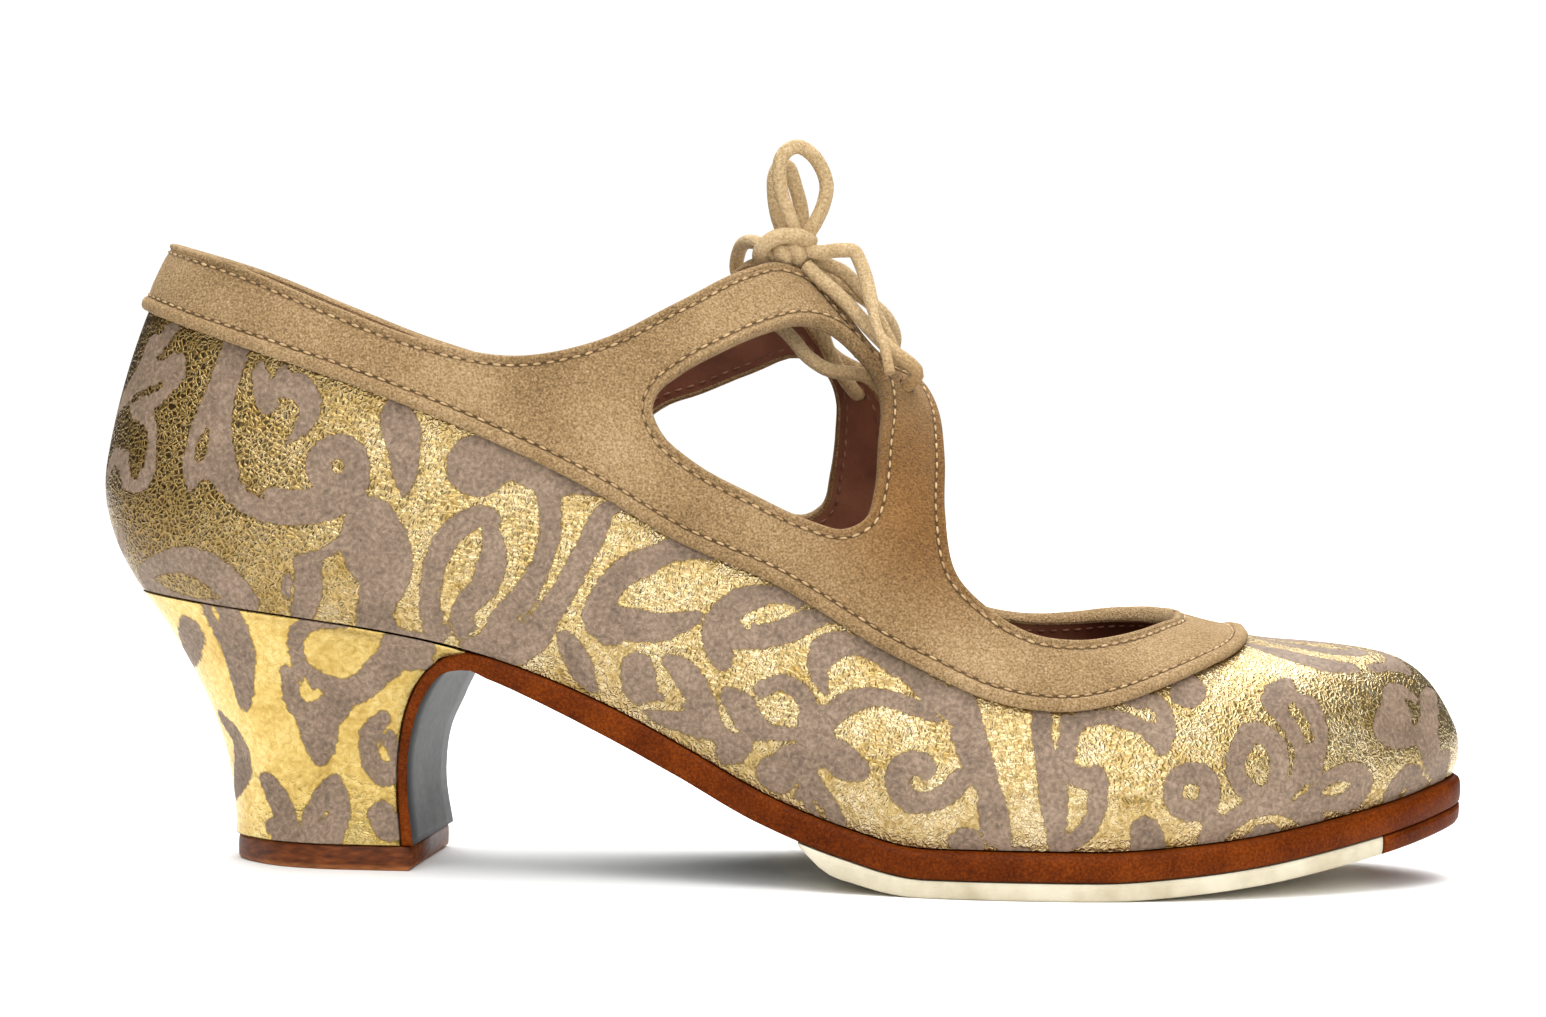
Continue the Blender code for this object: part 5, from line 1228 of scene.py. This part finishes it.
back = stroke_depth(points[:, 1:], both_ways(HEEL_BACK_LEAVES, 0))
motif = turning_into(motif, back, np.concatenate((facing, (0.0, 0.0))))
faces = outward(points, faces)
make_piece("heel_cover", points, faces, [COVER], {"motif": motif}, replaces=("heel_block",))


# The heel lift: stacked brown leather nailed under the heel, its edge stained and scuffed orange
# along the bottom where it strikes the floor.
base = heel_rings(np.array([0.0]))[0]
middle = base[:, :2].mean(axis=0)
away = base[:, :2] - middle
out = away / np.linalg.norm(away, axis=1)[:, None]
z = np.array([0.0, 0.15, 0.5, 1.2, 2.4, 3.4, LIFT - 0.5, LIFT - 0.15, LIFT])
grow = np.array([-1.2, -0.8, -0.6, -0.55, -0.5, -0.55, -0.6, -0.65, -0.8])
ahead = np.array([1.9, 2.2, 2.4, 2.4, 2.4, 2.4, 2.4, 2.3, 2.2])
plan = base[None, :, :2] + out[None] * grow[:, None, None]
plan[..., 0] += ahead[:, None] * (away[:, 0] > away[:, 0].max() - 6.0)[None]
rings = np.concatenate((plan, np.broadcast_to(z[:, None, None], (*plan.shape[:2], 1))), axis=-1)
TOP_LIFT, stack, here = new_material("stacked_leather_lift")
# stained stack: fibres drawn out along the layers, and a scuffed orange lip over the last millimetre
height = add(TOP_LIFT, "SeparateXYZ", {0: here}, "Z")
drawn = add(TOP_LIFT, "VectorMath", {"operation": "MULTIPLY", 0: here, 1: (0.4, 0.4, 1.6)})
fibre = add(TOP_LIFT, "TexNoise", {"Scale": 1 / 0.0012, "Detail": 4.0, "Vector": drawn})
browns = ((0.3, "#43200C"), (0.52, "#623010"), (0.75, "#7E421C"))
tone = add(TOP_LIFT, "ValToRGB", {"stops": browns, 0: fibre})
scuff = add(TOP_LIFT, "MapRange", {
    "From Min": 0.0003, "From Max": 0.0011, "To Min": 1.0, "To Max": 0.0, "Value": height,
})
scuff = add(TOP_LIFT, "Math", {"operation": "MULTIPLY", 0: scuff, 1: fibre})
colour = add(TOP_LIFT, "Mix", {"data_type": "RGBA", 0: scuff, 6: tone, 7: "#C07A45"}, 2)
bump = add(TOP_LIFT, "Bump", {"Strength": 0.25, "Distance": 0.0004, "Height": fibre})
fill(TOP_LIFT, stack, {"Roughness": 0.45, "Specular IOR Level": 0.2, "Base Color": colour, "Normal": bump})
points, faces = loft(rings, caps=True)
faces = outward(points, faces)
make_piece("leather_heel_lift", points, faces, [TOP_LIFT], replaces=("heel_lift",))


# The lace: a round tan suede cord threaded through three punched holes of the instep straps and
# tied in a small bow. Its two halves cross inside the shoe and come out between the straps.
CORD, BOUND_THINNER, BOUND_STEPS = 2.7, 0.28, 14
LACE = tan_suede("round_suede_lace", ("#A0865E", "#C0A47A", "#D8C09A"), 0.5, False)


def hole_line(hole, heights):
    """Points on a hole's axis at heights over the last."""
    side, x, z = hole
    turn, rise, _ = wall_at(np.array([x]), np.array([z]), side)
    centre, _, _, axis = wall_frame(turn, rise, side)
    return (centre + np.array(heights)[:, None] * axis).tolist()


def lace(name, run, replaces, tip=0):
    """Round cord: a circle of the cord's radius carried along a smooth run, bound thinner over its tip."""
    curve = bpy.data.curves.new(name, "CURVE")
    curve.dimensions = "3D"
    curve.bevel_depth = CORD * 0.0005
    curve.bevel_resolution = 5
    curve.use_fill_caps = True
    line = place(smooth_run(run, 5))
    spline = curve.splines.new("POLY")
    spline.points.add(len(line) - 1)
    spline.points.foreach_set("co", np.column_stack((line, np.ones(len(line)))).ravel())
    slim = np.clip((np.arange(len(line)) - (len(line) - 1 - tip)) / 2.0, 0.0, 1.0) * (tip > 0)
    spline.points.foreach_set("radius", 1.0 - BOUND_THINNER * slim)
    spline.use_smooth = True
    curve.materials.append(LACE)
    piece = bpy.data.objects.new(name, curve)
    bpy.context.scene.collection.objects.link(piece)
    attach(piece, "root")
    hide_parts(*replaces)
    return piece, line


OUTER_RISER = (
    (5.3, -4.4, 111.0), (7.6, -5.4, 108.8), (10.2, -6.2, 106.6), (13.6, -7.4, 103.4), (17.0, -9.4, 99.6),
    (20.6, -12.4, 96.0),
)
OUTER_INSIDE = (
    (20.6, -6.9, 87.8), (18.6, -5.5, 89.6), (16.4, -4.6, 91.0), (13.5, -3.8, 91.4), (10.0, -3.0, 91.8),
    (6.2, -2.4, 94.0), (2.6, -0.5, 98.0), (-1.0, 2.6, 101.0), (-4.2, 6.4, 102.6),
)
OUTER_OVER = (
    (-7.6, 14.6, 110.2), (-7.0, 11.0, 114.2), (-5.4, 6.0, 115.4), (-3.8, 3.0, 115.1), (-2.1, 0.95, 114.2),
)
INNER_RISER = (
    (5.9, 0.6, 111.4), (8.6, 1.9, 109.4), (12.0, 3.0, 107.6), (16.6, 4.8, 105.0), (20.6, 7.6, 101.6),
    (22.2, 11.2, 97.6), (20.8, 14.8, 94.0),
)
INNER_INSIDE = (
    (14.0, 6.9, 88.9), (11.9, 5.0, 91.8), (9.8, 3.8, 95.4), (8.4, 3.0, 99.2), (7.2, 2.6, 102.8),
    (6.0, 2.2, 106.2), (5.0, 1.0, 109.2), (3.8, -0.6, 112.0),
)
entering, leaving = (4.2, 1.3, -1.6), (-2.4, 1.3, 3.6)
outer_run = [*OUTER_RISER, *hole_line(HOLES[0], entering), *OUTER_INSIDE]
outer_run += [*hole_line(HOLES[2], leaving), *OUTER_OVER]
lace("lace_outer", outer_run, ("lace_outer_half",))
lace("lace_inner", [*INNER_RISER, *hole_line(HOLES[1], entering), *INNER_INSIDE], ("lace_inner_half",))


# The bow: two loops and two ends of the same cord drawn together in one knot above the instep.
KNOT, KNOT_HALF = np.array((2.0, -2.0, 113.4)), (5.0, 4.2, 3.0)
LOOP_FRONT = (
    (3.1, -4.1, 116.9), (2.0, -4.6, 120.2), (0.6, -4.8, 124.0), (0.1, -4.8, 127.8), (0.3, -4.6, 130.3),
    (1.8, -4.3, 132.2), (3.3, -4.0, 132.7), (5.8, -3.6, 131.5), (7.8, -3.3, 128.9), (8.8, -3.2, 125.8),
    (8.3, -3.2, 122.3), (6.9, -3.4, 119.0), (5.3, -3.3, 116.0), (5.1, -3.6, 114.9), (5.7, -4.2, 113.9),
)
LOOP_BACK = (
    (1.1, 0.0, 116.6), (-0.2, 0.8, 120.4), (-0.8, 1.2, 124.2), (-0.8, 1.4, 127.2), (-0.3, 1.5, 128.7),
    (0.7, 1.6, 129.5), (1.8, 1.7, 129.0), (2.5, 1.8, 127.5), (3.1, 1.8, 125.6), (3.9, 1.6, 123.0),
    (4.4, 1.2, 119.9), (3.9, 0.3, 116.2), (4.2, -0.7, 113.9), (5.4, -1.5, 112.7),
)
END_NEAR = (
    (7.05, -4.9, 113.45), (11.5, -6.6, 113.8), (14.0, -7.4, 113.6), (15.2, -8.0, 111.5), (16.3, -9.0, 108.4),
    (17.0, -10.8, 105.3), (18.0, -13.4, 100.6), (19.7, -16.0, 95.9), (20.7, -17.8, 91.5),
)
END_FAR = (
    (7.05, -2.0, 111.9), (10.0, -2.4, 110.9), (12.0, -3.0, 110.0), (13.8, -3.6, 108.4), (15.6, -4.4, 106.4),
    (17.9, -4.4, 103.2), (20.2, -4.8, 99.2), (22.0, -5.6, 95.4),
)


def knot_turns(count=72, around=48):
    """Drawn knot: an ellipsoid whose face swells in three slanted turns of cord, depth |sin| of the slant."""
    s = np.linspace(-1.0, 1.0, count)[:, None]
    theta = np.linspace(0.0, 2.0 * np.pi, around, endpoint=False)[None, :]
    swell = 0.86 + 0.2 * np.abs(np.sin(1.5 * np.pi * (s + 0.22 * np.sin(theta + 0.6)) + 0.4)) ** 0.7
    girth = np.sqrt(np.clip(1.0 - np.abs(s) ** 2.6, 0.0, 1.0)) * swell
    x = np.broadcast_to(KNOT_HALF[0] * s, girth.shape)
    y, z = KNOT_HALF[1] * girth * np.cos(theta), KNOT_HALF[2] * girth * np.sin(theta)
    return np.stack((x, y, z), axis=-1) + KNOT


def tube(run, radius, around=16):
    """A circle carried along a smooth run, its plane square to the run and kept from twisting."""
    line = smooth_run(run, 6)
    along = np.gradient(line, axis=0)
    along /= np.linalg.norm(along, axis=1, keepdims=True)
    aside = np.cross(along, (0.2, 1.0, 0.1))
    aside /= np.linalg.norm(aside, axis=1, keepdims=True)
    up = np.cross(along, aside)
    theta = np.linspace(0.0, 2.0 * np.pi, around, endpoint=False)[None, :, None]
    return line[:, None] + radius * (np.cos(theta) * aside[:, None] + np.sin(theta) * up[:, None])


WRAP_RADIUS = 1.5
WRAP = (
    (6.2, -3.6, 115.2), (4.6, -5.2, 116.0), (2.2, -6.0, 116.3), (-0.4, -6.2, 115.9), (-2.4, -5.8, 114.5),
    (-3.2, -4.6, 112.7), (-2.6, -3.0, 111.4),
)
points, faces = joined([loft(knot_turns(), caps=True), loft(tube(WRAP, WRAP_RADIUS), caps=True)])
knot = make_piece("bow_knot", points, faces, [LACE], replaces=("lace_knot",))
for name, loop, end, old in (
    ("bow_near", LOOP_FRONT, END_NEAR, ("lace_loop_front", "lace_end_near")),
    ("bow_far", LOOP_BACK, END_FAR, ("lace_loop_back", "lace_end_far")),
):
    piece, line = lace(name, [*loop, *end], old, tip=BOUND_STEPS)


# The floor and the light: white paper under an overhead softbox and a long one in front, set a
# little towards the toe; a third lights the paper behind, and beyond the paper all is plain white.
PAPER, paper, here = new_material("white_paper")
# paper tooth is far finer than a pixel, so only a faint cloud 60 mm across is drawn
cloud = add(PAPER, "TexNoise", {"Scale": 1 / 0.06, "Detail": 2.0, "Vector": here})
tone = add(PAPER, "ValToRGB", {"stops": ((0.3, "#F7F7F6"), (0.7, "#F9F9F8")), 0: cloud})
fill(PAPER, paper, {"Roughness": 0.9, "Base Color": tone})
mesh = bpy.data.meshes.new("paper_floor")
mesh.from_pydata([(-0.9, -0.7, 0.0), (0.9, -0.7, 0.0), (0.9, 1.6, 0.0), (-0.9, 1.6, 0.0)], [], [(0, 1, 2, 3)])
mesh.materials.append(PAPER)
floor = bpy.data.objects.new("paper_floor", mesh)
bpy.context.scene.collection.objects.link(floor)

world = bpy.data.worlds.new("studio")
world.use_nodes = True
room = world.node_tree.nodes["Background"]
seen = add(world, "LightPath", {}, "Is Camera Ray")
strength = add(world, "MapRange", {"To Min": 0.12, "To Max": 1.05, "Value": seen})
fill(world, room, {"Color": "#FFFFFF", "Strength": strength})
bpy.context.scene.world = world
for name, place_at, aim, size, power in (
    ("overhead_softbox", (0.0, -0.15, 1.15), (0.0, 0.1, 0.0), (1.1, 1.1), 18.0),
    ("front_softbox", (0.2, -1.3, 0.85), (0.0, 0.0, 0.06), (2.4, 1.0), 21.0),
    ("floor_softbox", (0.0, 1.25, 1.2), (0.0, 1.25, 0.0), (1.7, 1.7), 45.0),
):
    lamp = bpy.data.lights.new(name, "AREA")
    lamp.shape, lamp.size, lamp.size_y, lamp.energy = "RECTANGLE", *size, power
    holder = bpy.data.objects.new(name, lamp)
    holder.location = place_at
    reach = np.array(aim) - np.array(place_at)
    flat_run = math.hypot(reach[0], reach[1])
    heading = math.atan2(reach[1], reach[0]) - math.pi / 2.0
    holder.rotation_euler = (math.atan2(flat_run, -reach[2]), 0.0, heading)
    bpy.context.scene.collection.objects.link(holder)
bpy.context.scene.view_settings.view_transform = "Standard"

# The camera: a long lens level with the instep, tipped 2.1 degrees down and turned 1 degree, for an
# image of 1546 by 1017.
lens = bpy.data.cameras.new("shop_camera")
SENSOR, IMAGE_WIDE = 36.0, 1546.0
lens.sensor_width, lens.lens = SENSOR, VIEW_SCALE / IMAGE_WIDE * SENSOR
lens.clip_start, lens.clip_end = 0.05, 20.0
camera = bpy.data.objects.new("shop_camera", lens)
camera.location = place((0.0, -VIEW_AWAY, VIEW_UP))
tipped = Matrix.Rotation(math.pi / 2.0 - VIEW_TIP, 3, "X")
camera.rotation_euler = (tipped @ Matrix.Rotation(VIEW_TURN, 3, "Z")).to_euler()
bpy.context.scene.collection.objects.link(camera)
bpy.context.scene.camera = camera
